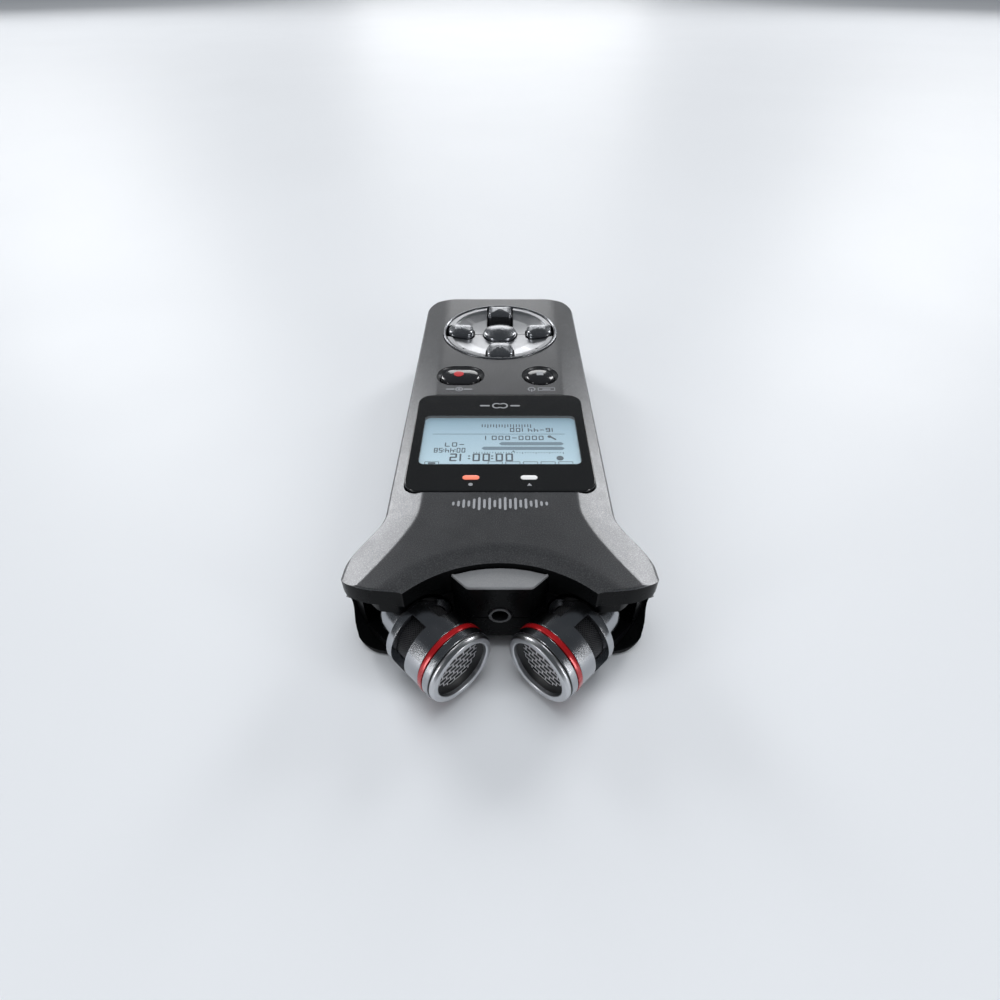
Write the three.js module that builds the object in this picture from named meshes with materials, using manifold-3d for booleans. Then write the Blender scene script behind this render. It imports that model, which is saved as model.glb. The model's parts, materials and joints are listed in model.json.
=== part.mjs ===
// Portable stereo field recorder, lying on its back: +Z out of the front face,
// the microphones towards -Y, origin under the middle of the whole object. Millimetres.
import * as THREE from 'three';
import { mergeVertices } from 'three/addons/utils/BufferGeometryUtils.js';
import Module from 'manifold-3d';

const wasm = await Module();
wasm.setup();

// ---------------------------------------------------------------- driving dimensions

const GAP = 0.3;                 // clearance between pieces that touch or slide
const RIGHT_ANGLE = Math.PI / 2;

// microphones: distances run along the capsule axis, outwards from the pivot pin
const PIVOT_X = 23.3;
const PIVOT_Y = -57.3;
const MIC_Z = 10.8;
const MIC_LENGTH = 22.1;
const BARREL_R = 8.6;
const BARREL_BACK = 6.1;
const RIM_R = 8.4;
const NECK_R = 5.4;
const PIN_R = 1.6;
const MIC_CLEAR = 0.45;
const RED_RING = { back: 17.5, front: 18.6, inner: 8.3, outer: 8.65 };
const STRUT_ANGLE = 24;

// body outline
const TAIL_Y = -PIVOT_Y + (MIC_LENGTH + RIM_R - 0.2) * Math.SQRT1_2;
const BODY_HALF = 27.5;
const TAIL_CORNER = 7.5;
const FLARE_START = -38.5;
const FLARE_END = -55.5;
const SHOULDER_HALF = 34.2;
const NOSE_Y = -63.6;
const RECESS_TOP_Y = -55;
const RECESS_R = 28.4;
const RECESS_EDGE_X = 20.2;

// layers, from the back up
const REAR_TOP = 16.6;
const MID_BOTTOM = REAR_TOP + GAP;
const MID_TOP = 19.6;
const FRONT_BOTTOM = MID_TOP + GAP;
const FRONT_TOP = 25;
const WALL = 1.7;
const BELLY_R = 7;

// front face: flat centre with sloping flanks
const CREASE_HALF = 18.9;
const CREASE_START = -37.5;
const FLANK_SLOPE = 0.235;
const EDGE_R = 1.1;
const TAIL_ROUND = 2.2;

// display
const PANEL = { half: 24, front: -32.7, back: 10.2, corner: 4, top: 25.2, bottom: 22.7 };
const WINDOW = { half: 21.1, front: -22.3, back: -0.7, corner: 1.5 };
const LENS = { x: 7.3, y: -27.6, length: 4.2, width: 1.6 };

// controls
const KEY_TRAVEL = 0.5;
const MAT_TOP = FRONT_BOTTOM - GAP;
const KEY_BASE = MAT_TOP + KEY_TRAVEL + 0.2;
const PAD_Y = 51.4;
const PAD_RING_R = 19.95;
const PAD_RING_WALL = 1;
const PAD_PLATE_R = 18.65;
const PLAY_R = 5.75;
const KEY_TOP = 26.3;
const RECORD = { x: -12.4, y: 21.3, length: 12.4, width: 8.7 };
const POWER = { x: 12.5, y: 21.3, r: 4.5 };

// sockets, switches and covers along the sides
const SIDE_Z = 11.6;
const PHONES = { y: 5, r: 3.2, depth: 13 };
const VOLUME_KEY = { length: 5.8, width: 3.2, reach: 28.3, up: 34, down: 26 };
const HOLD = { y: 34, length: 6.5, width: 2.6, travel: 4, reach: 28.3 };
const FLAP = { front: -8, back: 10, bottom: 8.6, top: 14.6, thick: 1.1 };
const USB = { y: -22, width: 8.4, height: 3.4, mouth: 27.1, depth: 8.1, wall: 0.45 };
const CARD_SOCKET = { front: -6.5, back: 8.5, bottom: 9.6, top: 13.6, mouth: 24.6, depth: 14.6 };

// input jack, in a block between the microphones
const JACK = { z: 13.2, r: 2.65, bore: 1.8, front: -60.9, depth: 13 };
const JACK_BLOCK = { bottom: 4.6, top: 23 };

// power and fastenings
const CELL = { r: 7.2, x: 7.45, z: 9.2, front: 12.8, back: 62 };
const DOOR = { half: 15.4, front: 11, back: 75.6, thick: 1.3 };
const TRIPOD = { y: -25, bore: 3.2, outer: 5, depth: 7, hole: 6.2 };
const SCREWS = { x: 18.2, front: -34, back: 69.5, head: 1.8, shank: 0.95 };
const SPEAKER = { y: -3, r: 8.5, hole: 0.8, spread: 4 };

// ---------------------------------------------------------------- solids and meshes

function toSolid(geometry) {
  const bare = geometry.clone();
  bare.deleteAttribute('normal');
  bare.deleteAttribute('uv');
  const merged = mergeVertices(bare, 1e-4);
  return new wasm.Manifold(new wasm.Mesh({
    numProp: 3,
    vertProperties: new Float32Array(merged.attributes.position.array),
    triVerts: new Uint32Array(merged.index.array),
  }));
}

function toGeometry(solid) {
  const mesh = solid.getMesh();
  const geometry = new THREE.BufferGeometry();
  geometry.setAttribute('position', new THREE.BufferAttribute(mesh.vertProperties, 3));
  geometry.setIndex(new THREE.BufferAttribute(mesh.triVerts, 1));
  geometry.computeVertexNormals();
  return geometry;
}

function join(solids) {
  return solids.reduce((whole, next) => whole.add(next));
}

function cut(solid, tools) {
  return tools.reduce((rest, tool) => rest.subtract(tool), solid);
}

const finishes = {
  graphite: { color: 0x45474b, roughness: 0.42, metalness: 0.6 },
  black: { color: 0x16171a, roughness: 0.5, metalness: 0 },
  gloss: { color: 0x0c0d0f, roughness: 0.12, metalness: 0 },
  darkChrome: { color: 0x55575c, roughness: 0.15, metalness: 1 },
  silver: { color: 0xa9acb2, roughness: 0.32, metalness: 0.9 },
  red: { color: 0xbe1420, roughness: 0.35, metalness: 0.2 },
  mesh: { color: 0x141416, roughness: 0.7, metalness: 0.3 },
  display: { color: 0xc0d7e4, roughness: 0.3, metalness: 0 },
  glass: { color: 0xe8f0f4, roughness: 0.05, metalness: 0 },
  coral: { color: 0xff6a55, roughness: 0.35, metalness: 0 },
  white: { color: 0xf2f3f4, roughness: 0.35, metalness: 0 },
  rubber: { color: 0x202124, roughness: 0.85, metalness: 0 },
  board: { color: 0x17503a, roughness: 0.5, metalness: 0.1 },
  steel: { color: 0xb8babd, roughness: 0.3, metalness: 1 },
  brass: { color: 0xc4a35a, roughness: 0.35, metalness: 1 },
  cell: { color: 0x8d9298, roughness: 0.35, metalness: 0.4 },
};

const recorder = new THREE.Group();

function place(name, shape, finish, parent = recorder) {
  const geometry = shape.isBufferGeometry ? toGeometry(toSolid(shape)) : toGeometry(shape);
  const mesh = new THREE.Mesh(geometry, new THREE.MeshStandardMaterial(finishes[finish]));
  mesh.name = name;
  parent.add(mesh);
  return mesh;
}

// ---------------------------------------------------------------- outlines and basic forms

function polygon(points) {
  return new THREE.Shape(points.map(([x, y]) => new THREE.Vector2(x, y)));
}

function roundedRect(x0, y0, x1, y1, r) {
  const shape = new THREE.Shape();
  shape.moveTo(x0 + r, y0);
  shape.lineTo(x1 - r, y0);
  shape.absarc(x1 - r, y0 + r, r, -RIGHT_ANGLE, 0, false);
  shape.lineTo(x1, y1 - r);
  shape.absarc(x1 - r, y1 - r, r, 0, RIGHT_ANGLE, false);
  shape.lineTo(x0 + r, y1);
  shape.absarc(x0 + r, y1 - r, r, RIGHT_ANGLE, Math.PI, false);
  shape.lineTo(x0, y0 + r);
  shape.absarc(x0 + r, y0 + r, r, Math.PI, 1.5 * Math.PI, false);
  return shape;
}

function centredRect(x, y, width, height, r) {
  return roundedRect(x - width / 2, y - height / 2, x + width / 2, y + height / 2, r);
}

function prism(shape, z0, z1, segments = 3) {
  const options = { depth: z1 - z0, bevelEnabled: false, curveSegments: segments };
  return toSolid(new THREE.ExtrudeGeometry(shape, options).translate(0, 0, z0));
}

// a prism along X of an outline drawn in (y, z)
function prismX(shape, x0, x1, segments = 3) {
  const options = { depth: x1 - x0, bevelEnabled: false, curveSegments: segments };
  const turn = new THREE.Matrix4().makeBasis(
    new THREE.Vector3(0, 1, 0), new THREE.Vector3(0, 0, 1), new THREE.Vector3(1, 0, 0));
  const geometry = new THREE.ExtrudeGeometry(shape, options).applyMatrix4(turn);
  return toSolid(geometry.translate(x0, 0, 0));
}

// a key cap: straight sides with rounded edges at its top and bottom
function keyCap(shape, z0, z1, round, segments = 3) {
  const options = {
    depth: z1 - z0 - 2 * round,
    bevelThickness: round,
    bevelSize: round,
    bevelOffset: -round,
    bevelSegments: 2,
    curveSegments: segments,
  };
  return toSolid(new THREE.ExtrudeGeometry(shape, options).translate(0, 0, z0 + round));
}

function block(x0, y0, z0, x1, y1, z1) {
  const box = new THREE.BoxGeometry(x1 - x0, y1 - y0, z1 - z0);
  return toSolid(box.translate((x0 + x1) / 2, (y0 + y1) / 2, (z0 + z1) / 2));
}

function disc(x, y, r, z0, z1, segments = 24) {
  const geometry = new THREE.CylinderGeometry(r, r, z1 - z0, segments);
  return toSolid(geometry.rotateX(RIGHT_ANGLE).translate(x, y, (z0 + z1) / 2));
}

function rodY(x, z, r, y0, y1, segments = 16) {
  const geometry = new THREE.CylinderGeometry(r, r, y1 - y0, segments);
  return toSolid(geometry.translate(x, (y0 + y1) / 2, z));
}

function rodX(y, z, r, x0, x1, segments = 16) {
  const geometry = new THREE.CylinderGeometry(r, r, x1 - x0, segments);
  return toSolid(geometry.rotateZ(RIGHT_ANGLE).translate((x0 + x1) / 2, y, z));
}

function lathe(profile, segments = 40) {
  const points = profile.map(([r, y]) => new THREE.Vector2(r, y));
  return new THREE.LatheGeometry([...points, points[0]], segments);
}

// a solid through one closed section for each station along Y
function loft(stations, sectionAt) {
  const sections = stations.map(sectionAt);
  const count = sections[0].length;
  const positions = sections.flatMap((section, i) => section.flatMap(([x, z]) => [x, stations[i], z]));
  const flat = (section) => section.map(([x, z]) => new THREE.Vector2(x, z));
  const last = (sections.length - 1) * count;
  const index = [];
  for (let i = 0; i < sections.length - 1; i++) {
    for (let j = 0; j < count; j++) {
      const near = i * count;
      const far = near + count;
      const next = (j + 1) % count;
      index.push(near + j, far + j, far + next);
      index.push(near + j, far + next, near + next);
    }
  }
  for (const [a, b, c] of THREE.ShapeUtils.triangulateShape(flat(sections[0]), [])) {
    index.push(a, b, c);
  }
  for (const [a, b, c] of THREE.ShapeUtils.triangulateShape(flat(sections.at(-1)), [])) {
    index.push(last + a, last + c, last + b);
  }
  const geometry = new THREE.BufferGeometry();
  geometry.setAttribute('position', new THREE.Float32BufferAttribute(positions, 3));
  geometry.setIndex(index);
  return toSolid(geometry);
}

// ---------------------------------------------------------------- body form

// how far a quarter-ellipse edge has dropped at a share u of its width
function roundDrop(u) {
  const held = THREE.MathUtils.clamp(u, 0, 1);
  return 1 - Math.sqrt(1 - held * held);
}

function halfWidth(y) {
  const flare = THREE.MathUtils.smoothstep(FLARE_START - y, 0, FLARE_START - FLARE_END);
  const corner = TAIL_CORNER * roundDrop((y - (TAIL_Y - TAIL_CORNER)) / TAIL_CORNER);
  return BODY_HALF + (SHOULDER_HALF - BODY_HALF) * flare - corner;
}

function creaseHalf(y) {
  const past = Math.max(0, CREASE_START - y);
  return CREASE_HALF + 0.73 * past * past / (past + 14.2);
}

function bodyStations(front, back, step = 3) {
  const row = [];
  const cornerStart = TAIL_Y - TAIL_CORNER;
  const arc = (back - cornerStart) / TAIL_CORNER;
  for (let y = front; y < FLARE_START - 0.5; y += step) {
    row.push(y);
  }
  row.push(FLARE_START, CREASE_START, cornerStart);
  for (let k = 1; k <= 4; k++) {
    row.push(cornerStart + TAIL_CORNER * Math.sin(Math.asin(arc) * k / 4));
  }
  return row;
}

function mirrored(right) {
  return [...right, ...right.map(([x, z]) => [-x, z]).reverse()];
}

function frontSection(y, inset, top, bottom) {
  const half = halfWidth(y) - inset;
  const crease = Math.min(creaseHalf(y), half - EDGE_R - 0.2);
  const ridge = top - TAIL_ROUND * roundDrop((y - (TAIL_Y - TAIL_ROUND)) / TAIL_ROUND);
  const edge = ridge - FLANK_SLOPE * (half - EDGE_R - crease);
  return mirrored([
    [half, bottom],
    [half, edge - EDGE_R * 1.2],
    [half - EDGE_R * 0.3, edge - EDGE_R * 0.4],
    [half - EDGE_R, edge],
    [crease, ridge],
  ]);
}

function bellySection(y, inset, top, bottom, radius) {
  const half = halfWidth(y) - inset;
  const start = TAIL_Y - inset - BELLY_R;
  const lift = BELLY_R * 0.8 * roundDrop((y - start) / (BELLY_R + 0.4));
  const points = [];
  for (let k = 0; k <= 4; k++) {
    const turn = k / 4 * RIGHT_ANGLE;
    points.push([
      half - radius + radius * Math.sin(turn),
      bottom + lift + radius * (1 - Math.cos(turn)),
    ]);
  }
  return mirrored([...points, [half, top]]);
}

// everything in front of the shoulders, with the recess for the microphones and the jack block
function frontCutter(setback) {
  const recessY = RECESS_TOP_Y - RECESS_R;
  const reach = Math.asin(RECESS_EDGE_X / RECESS_R);
  const shape = new THREE.Shape();
  shape.moveTo(-45, -57 + setback);
  shape.lineTo(-SHOULDER_HALF - 0.1, -57 + setback);
  shape.quadraticCurveTo(-SHOULDER_HALF, -61.4 + setback, -27, -62.6 + setback);
  shape.lineTo(-RECESS_EDGE_X - 0.6, -63.2 + setback);
  shape.absarc(0, recessY + setback, RECESS_R, RIGHT_ANGLE + reach, RIGHT_ANGLE - reach, true);
  shape.lineTo(RECESS_EDGE_X + 0.6, -63.2 + setback);
  shape.lineTo(27, -62.6 + setback);
  shape.quadraticCurveTo(SHOULDER_HALF, -61.4 + setback, SHOULDER_HALF + 0.1, -57 + setback);
  shape.lineTo(45, -57 + setback);
  shape.lineTo(45, -90);
  shape.lineTo(-45, -90);
  return prism(shape, -2, 30, 8);
}

// the space that one microphone needs from its closed place to its open place
function micSweep(side) {
  const near = BARREL_BACK - 0.6;
  const far = MIC_LENGTH + 2;
  const radius = BARREL_R + MIC_CLEAR;
  const sector = new THREE.Shape();
  sector.absarc(side * PIVOT_X, PIVOT_Y, far, -0.75 * Math.PI, -0.25 * Math.PI, false);
  sector.absarc(side * PIVOT_X, PIVOT_Y, near, -0.25 * Math.PI, -0.75 * Math.PI, true);
  const ends = [-1, 1].map((way) => toSolid(
    new THREE.CylinderGeometry(radius, radius, far - near, 24)
      .translate(0, -(near + far) / 2, 0)
      .rotateZ(way * Math.PI / 4)
      .translate(side * PIVOT_X, PIVOT_Y, MIC_Z)));
  return join([prism(sector, MIC_Z - radius, MIC_Z + radius, 8), ...ends]);
}

function knucklePocket(side) {
  return disc(side * PIVOT_X, PIVOT_Y, 8, MIC_Z - NECK_R - 0.5, REAR_TOP + 1, 20);
}

function pinHole(side, z0, z1) {
  return disc(side * PIVOT_X, PIVOT_Y, PIN_R + GAP, z0, z1, 12);
}

const bothSides = [-1, 1];
const sweeps = bothSides.map(micSweep);

// ---------------------------------------------------------------- control outlines

// outlines of the four direction keys, drawn round the centre of the pad
const padKeys = {
  minus_button: roundedRect(-4.3, 11, 4.3, 18.4, 1.2),
  plus_button: roundedRect(-4.35, -18.4, 4.35, -8.9, 1.6),
  previous_button: roundedRect(-18, -4, -9.4, 4, 2.2),
  next_button: roundedRect(9.4, -4, 18, 4, 2.2),
};

function padSlots() {
  const slots = [
    roundedRect(-4.8, 6, 4.8, 19.4, 0.6),
    roundedRect(-4.85, -19.4, 4.85, -6, 0.6),
    roundedRect(-19.4, -4.45, -8.9, 4.45, 2.4),
    roundedRect(8.9, -4.45, 19.4, 4.45, 2.4),
  ];
  const prisms = slots.map((slot) => prism(slot, 15, 30, 2).translate([0, PAD_Y, 0]));
  return join([disc(0, PAD_Y, PLAY_R + 0.45, 15, 30, 32), ...prisms]);
}

const recordCap = centredRect(RECORD.x, RECORD.y, RECORD.length, RECORD.width, RECORD.width / 2 - 0.2);

// ---------------------------------------------------------------- casings

function funnel(shape, rise, grow, z) {
  const options = {
    depth: 6,
    bevelThickness: rise,
    bevelSize: grow,
    bevelSegments: 1,
    curveSegments: 6,
  };
  return toSolid(new THREE.ExtrudeGeometry(shape, options).translate(0, 0, z - 6 - rise));
}

function makeFrontCase() {
  const outer = loft(bodyStations(NOSE_Y, TAIL_Y),
    (y) => frontSection(y, 0, FRONT_TOP, FRONT_BOTTOM));
  const hollow = loft(bodyStations(-50, TAIL_Y - WALL),
    (y) => frontSection(y, WALL, FRONT_TOP - WALL, FRONT_BOTTOM - 1));
  const panelHole = roundedRect(-PANEL.half - GAP, PANEL.front - GAP,
    PANEL.half + GAP, PANEL.back + GAP, PANEL.corner + GAP);
  const recordHole = centredRect(RECORD.x, RECORD.y, RECORD.length + 0.7, RECORD.width + 0.7, 4.5);
  const powerHole = new THREE.Shape();
  powerHole.absarc(POWER.x, POWER.y, POWER.r + 0.35, 0, 2 * Math.PI, false);
  return cut(outer, [
    frontCutter(0),
    hollow,
    prism(panelHole, 15, 30),
    prism(recordHole, 15, 30, 6),
    funnel(recordHole, 0.9, 0.9, FRONT_TOP + 0.05),
    prism(powerHole, 15, 30, 12),
    funnel(powerHole, 0.75, 0.75, FRONT_TOP + 0.05),
    disc(0, PAD_Y, PAD_RING_R + GAP, 15, 30, 48),
    ...bothSides.map((side) => pinHole(side, 15, 22.6)),
  ]);
}

function makeMidFrame() {
  const outer = loft(bodyStations(NOSE_Y, TAIL_Y - 0.5),
    (y) => mirrored([[halfWidth(y) - 0.5, MID_BOTTOM], [halfWidth(y) - 0.5, MID_TOP]]));
  const opening = loft(bodyStations(-50, TAIL_Y - 2.3),
    (y) => mirrored([[halfWidth(y) - 2.3, MID_BOTTOM - 1], [halfWidth(y) - 2.3, MID_TOP + 1]]));
  return cut(outer, [
    frontCutter(0.5),
    opening,
    ...sweeps,
    ...bothSides.map((side) => pinHole(side, 15, 22)),
  ]);
}

function makeRearCase() {
  const outer = loft(bodyStations(NOSE_Y, TAIL_Y),
    (y) => bellySection(y, 0, REAR_TOP, 0, BELLY_R));
  const hollow = loft(bodyStations(-50, TAIL_Y - WALL),
    (y) => bellySection(y, WALL, REAR_TOP + 1, WALL, BELLY_R - WALL));
  const doorRecess = block(-DOOR.half - GAP, DOOR.front - GAP, -1, DOOR.half + GAP, 90, DOOR.thick + GAP);
  const cellMouth = block(-14.8, CELL.front - 2, -1, 14.8, CELL.back + 3, 3);
  const screwHoles = bothSides.flatMap((side) => [SCREWS.front, SCREWS.back].flatMap((y) => [
    disc(side * SCREWS.x, y, SCREWS.head + GAP, -1, 0.95, 12),
    disc(side * SCREWS.x, y, SCREWS.shank + GAP, -1, 3, 10),
  ]));
  const soundHoles = [disc(0, SPEAKER.y, SPEAKER.hole, -1, 3, 8)];
  for (let k = 0; k < 6; k++) {
    const turn = 2 * Math.PI * k / 6;
    const x = SPEAKER.spread * Math.cos(turn);
    const y = SPEAKER.y + SPEAKER.spread * Math.sin(turn);
    soundHoles.push(disc(x, y, SPEAKER.hole, -1, 3, 8));
  }
  return cut(outer, [
    frontCutter(0),
    hollow,
    ...sweeps,
    ...bothSides.map(knucklePocket),
    ...bothSides.map((side) => pinHole(side, 1.2, 8)),
    doorRecess,
    cellMouth,
    disc(0, TRIPOD.y, TRIPOD.outer + GAP, -1, 3, 24),
    ...screwHoles,
    ...soundHoles,
    rodY(0, JACK.z, JACK.r + GAP, -70, -48),
    ...sideOpenings(),
  ]);
}

// the holes in the two flanks for the sockets, keys, switch and cover
function sideOpenings() {
  const keyLength = VOLUME_KEY.length + 0.8;
  const keyWidth = VOLUME_KEY.width + 0.8;
  const keyHole = (y) => prismX(centredRect(y, SIDE_Z, keyLength, keyWidth, 1.6), -30, -24);
  const track = HOLD.length + HOLD.travel + 1;
  const flapSeat = roundedRect(FLAP.front - 0.4, FLAP.bottom - 0.4, FLAP.back + 0.4, FLAP.top + 0.4, 0.8);
  const cardSlot = roundedRect(FLAP.front + 1.5, FLAP.bottom + 1, FLAP.back - 1.5, FLAP.top - 1, 0.5);
  const usbHole = centredRect(USB.y, SIDE_Z, USB.width + 2 * GAP, USB.height + 2 * GAP, 1);
  return [
    rodX(PHONES.y, SIDE_Z, PHONES.r + GAP, -30, -24),
    keyHole(VOLUME_KEY.up),
    keyHole(VOLUME_KEY.down),
    prismX(centredRect(HOLD.y - HOLD.travel / 2, SIDE_Z, track, HOLD.width + 0.8, 1.2), 24, 30),
    prismX(flapSeat, 26, 30),
    prismX(cardSlot, 20, 30),
    prismX(usbHole, 20, 30),
  ];
}

place('front_case', makeFrontCase(), 'graphite');
place('mid_frame', makeMidFrame(), 'black');
place('rear_case', makeRearCase(), 'black');

// ---------------------------------------------------------------- display

function lensOutline(side, spare) {
  const width = LENS.width + 2 * spare;
  return centredRect(side * LENS.x, LENS.y, LENS.length + 2 * spare, width, width / 2 - 0.01);
}

function makePanel() {
  const plate = roundedRect(-PANEL.half, PANEL.front, PANEL.half, PANEL.back, PANEL.corner);
  const opening = roundedRect(-WINDOW.half, WINDOW.front, WINDOW.half, WINDOW.back, WINDOW.corner);
  return cut(keyCap(plate, PANEL.bottom, PANEL.top, 0.35, 3), [
    prism(opening, 20, 30, 3),
    ...bothSides.map((side) => prism(lensOutline(side, GAP), 20, 30, 4)),
  ]);
}

function makeHolder() {
  const plate = roundedRect(-23, PANEL.front + 1, 23, PANEL.back - 1, 3);
  const pocket = block(-22.4, -23.9, 15, 22.4, 0.9, 30);
  const lightWells = bothSides.map((side) => disc(side * LENS.x, LENS.y, 1.6, 15, 30, 10));
  return cut(prism(plate, 20.2, PANEL.bottom - GAP, 4), [pocket, ...lightWells]);
}

place('display_panel', makePanel(), 'gloss');
place('display_glass', prism(roundedRect(-WINDOW.half + GAP, WINDOW.front + GAP,
  WINDOW.half - GAP, WINDOW.back - GAP, WINDOW.corner - GAP), 23.4, PANEL.top - 0.15, 4), 'glass');
place('display_module', block(-22.1, -23.6, 20.2, 22.1, 0.6, PANEL.bottom - GAP), 'display');
place('display_holder', makeHolder(), 'black');
place('record_lamp_lens', prism(lensOutline(-1, 0), 22.9, PANEL.top + 0.1, 4), 'coral');
place('peak_lamp_lens', prism(lensOutline(1, 0), 22.9, PANEL.top + 0.1, 4), 'white');

// ---------------------------------------------------------------- buttons and control pad

place('record_button', keyCap(recordCap, KEY_BASE, FRONT_TOP + 0.5, 1, 5), 'gloss');
place('power_button', lathe([
  [0, KEY_BASE], [POWER.r, KEY_BASE], [POWER.r, 24.3], [POWER.r - 0.4, 24.9],
  [POWER.r - 1.1, 25.3], [0, 25.6],
], 28).rotateX(RIGHT_ANGLE), 'gloss').position.set(POWER.x, POWER.y, 0);

place('pad_ring', lathe([
  [PAD_RING_R - PAD_RING_WALL, 21.2], [PAD_RING_R, 21.2], [PAD_RING_R, 25],
  [PAD_RING_R - 0.3, 25.3], [PAD_RING_R - PAD_RING_WALL, 25.3],
], 48).rotateX(RIGHT_ANGLE), 'silver').position.y = PAD_Y;

place('play_button', lathe([
  [0, KEY_BASE], [PLAY_R, KEY_BASE], [PLAY_R, 24], [PLAY_R - 0.3, 24.6],
  [PLAY_R - 1.6, 25.4], [0, 25.8],
], 28).rotateX(RIGHT_ANGLE), 'darkChrome').position.y = PAD_Y;

for (const [name, outline] of Object.entries(padKeys)) {
  place(name, keyCap(outline, KEY_BASE, KEY_TOP, 0.8), 'darkChrome').position.y = PAD_Y;
}

// dished plate round the keys, in four parts that each press as a key
const padPlate = toSolid(lathe([
  [3, KEY_BASE + 0.1], [PAD_PLATE_R, KEY_BASE + 0.1], [PAD_PLATE_R, 24.75], [PAD_PLATE_R - 0.2, 24.9],
  [17, 24.9], [16.7, 24.45], [3, 23.2],
], 48).rotateX(RIGHT_ANGLE).translate(0, PAD_Y, 0)).subtract(padSlots());

const plateKeys = [
  ['menu_key', -1, 1], ['speed_key', 1, 1], ['mark_key', -1, -1], ['mixer_key', 1, -1],
];
for (const [name, sideX, sideY] of plateKeys) {
  const quarter = block(0.15, 0.15, 15, 25, 25, 30);
  const turned = quarter.scale([sideX, sideY, 1]).translate([0, PAD_Y, 0]);
  place(name, padPlate.intersect(turned), 'silver');
}

place('key_mat', prism(roundedRect(-21.5, 13.5, 21.5, 72.5, 4), 18.9, MAT_TOP, 4), 'rubber');
place('main_board', prism(roundedRect(-23.5, -48, 23.5, 74, 4), 17.2, 18.6, 4), 'board');

// ---------------------------------------------------------------- input jack between the microphones

function makeJackBlock() {
  const backY = (x) => RECESS_TOP_Y - RECESS_R - 0.4 + Math.sqrt(RECESS_R ** 2 - x * x);
  const back = [9.6, 6.4, 3.2, 0, -3.2, -6.4, -9.6].map((x) => [x, backY(x)]);
  const outline = polygon([[-10.5, -57.1], [-7, -60.6], [7, -60.6], [10.5, -57.1], ...back]);
  const bore = rodY(0, JACK.z, JACK.r + GAP, -70, -50);
  return cut(prism(outline, JACK_BLOCK.bottom, JACK_BLOCK.top), [bore]);
}

function socketTube(r, length) {
  return lathe([
    [0, length - 1], [JACK.bore, length - 1], [JACK.bore, 0], [r, 0], [r, length], [0, length],
  ], 24);
}

place('jack_block', makeJackBlock(), 'black');
place('input_jack', socketTube(JACK.r, JACK.depth), 'gloss').position.set(0, JACK.front, JACK.z);

// ---------------------------------------------------------------- side sockets and switches

const phones = place('phones_jack', socketTube(PHONES.r, PHONES.depth), 'gloss');
phones.position.set(-BODY_HALF + 0.1, PHONES.y, SIDE_Z);
phones.rotation.z = -RIGHT_ANGLE;

function volumeKey(y) {
  const outline = centredRect(y, SIDE_Z, VOLUME_KEY.length, VOLUME_KEY.width, 1.4);
  return prismX(outline, -VOLUME_KEY.reach, -25);
}

place('volume_up_button', volumeKey(VOLUME_KEY.up), 'black');
place('volume_down_button', volumeKey(VOLUME_KEY.down), 'black');
place('hold_switch', prismX(centredRect(HOLD.y, SIDE_Z, HOLD.length, HOLD.width, 0.8), 25, HOLD.reach),
  'black');
place('card_cover', prismX(roundedRect(FLAP.front, FLAP.bottom, FLAP.back, FLAP.top, 0.5),
  BODY_HALF - FLAP.thick, BODY_HALF), 'rubber');

function makeCardSocket() {
  const { front, back, bottom, top, mouth, depth } = CARD_SOCKET;
  const shell = block(mouth - depth, front, bottom, mouth, back, top);
  return cut(shell, [block(mouth - depth + 2, front + 1.5, bottom + 1, 30, back - 1.5, top - 1.2)]);
}

function makeUsbSocket() {
  const { y, width, height, mouth, depth, wall } = USB;
  const shell = prismX(centredRect(y, SIDE_Z, width, height, 0.8), mouth - depth, mouth);
  const inside = centredRect(y, SIDE_Z, width - 2 * wall, height - 2 * wall, 0.5);
  return cut(shell, [prismX(inside, mouth - depth + 0.8, 30)]);
}

place('card_socket', makeCardSocket(), 'steel');
place('usb_socket', makeUsbSocket(), 'steel');

// ---------------------------------------------------------------- power, sound and fastenings

const doorSide = polygon([[DOOR.front, 0], [DOOR.back - 3, 0], [DOOR.back - 1.2, 0.45],
  [DOOR.back, DOOR.thick], [DOOR.front, DOOR.thick]]);
place('battery_door', prismX(doorSide, -DOOR.half, DOOR.half), 'black');

for (const [name, side] of [['battery_left', -1], ['battery_right', 1]]) {
  const length = CELL.back - CELL.front;
  const shoulder = length - 1.3;
  const cellBody = lathe([
    [0, 0], [CELL.r - 0.4, 0], [CELL.r, 0.4], [CELL.r, shoulder - 0.5], [CELL.r - 0.5, shoulder],
    [2.7, shoulder], [2.7, length], [0, length],
  ], 16);
  const cell = place(name, cellBody, 'cell');
  cell.position.set(side * CELL.x, side < 0 ? CELL.front : CELL.back, CELL.z);
  cell.rotation.z = side < 0 ? 0 : Math.PI;
}

// a plate with two springs that point along Y towards the cells
function contactStrip(y, way) {
  const springs = bothSides.map((side) => {
    const cone = new THREE.CylinderGeometry(2, 3.6, 1.2, 14).translate(0, 0.6, 0);
    const facing = way > 0 ? cone : cone.rotateX(Math.PI);
    return toSolid(facing.translate(side * CELL.x, y, CELL.z));
  });
  const edges = [y, y - 0.5 * way];
  const strip = block(-13.5, Math.min(...edges), 4, 13.5, Math.max(...edges), 14.4);
  return join([strip, ...springs]);
}

place('battery_contact_front', contactStrip(CELL.front - 1.5, 1), 'steel');
place('battery_contact_rear', contactStrip(CELL.back + 1.5, -1), 'steel');

place('speaker', lathe([
  [0, 2.1], [SPEAKER.r, 2.1], [SPEAKER.r, 3.2], [5, 3.6], [5, 6], [0, 6],
], 20).rotateX(RIGHT_ANGLE), 'black').position.y = SPEAKER.y;

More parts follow.
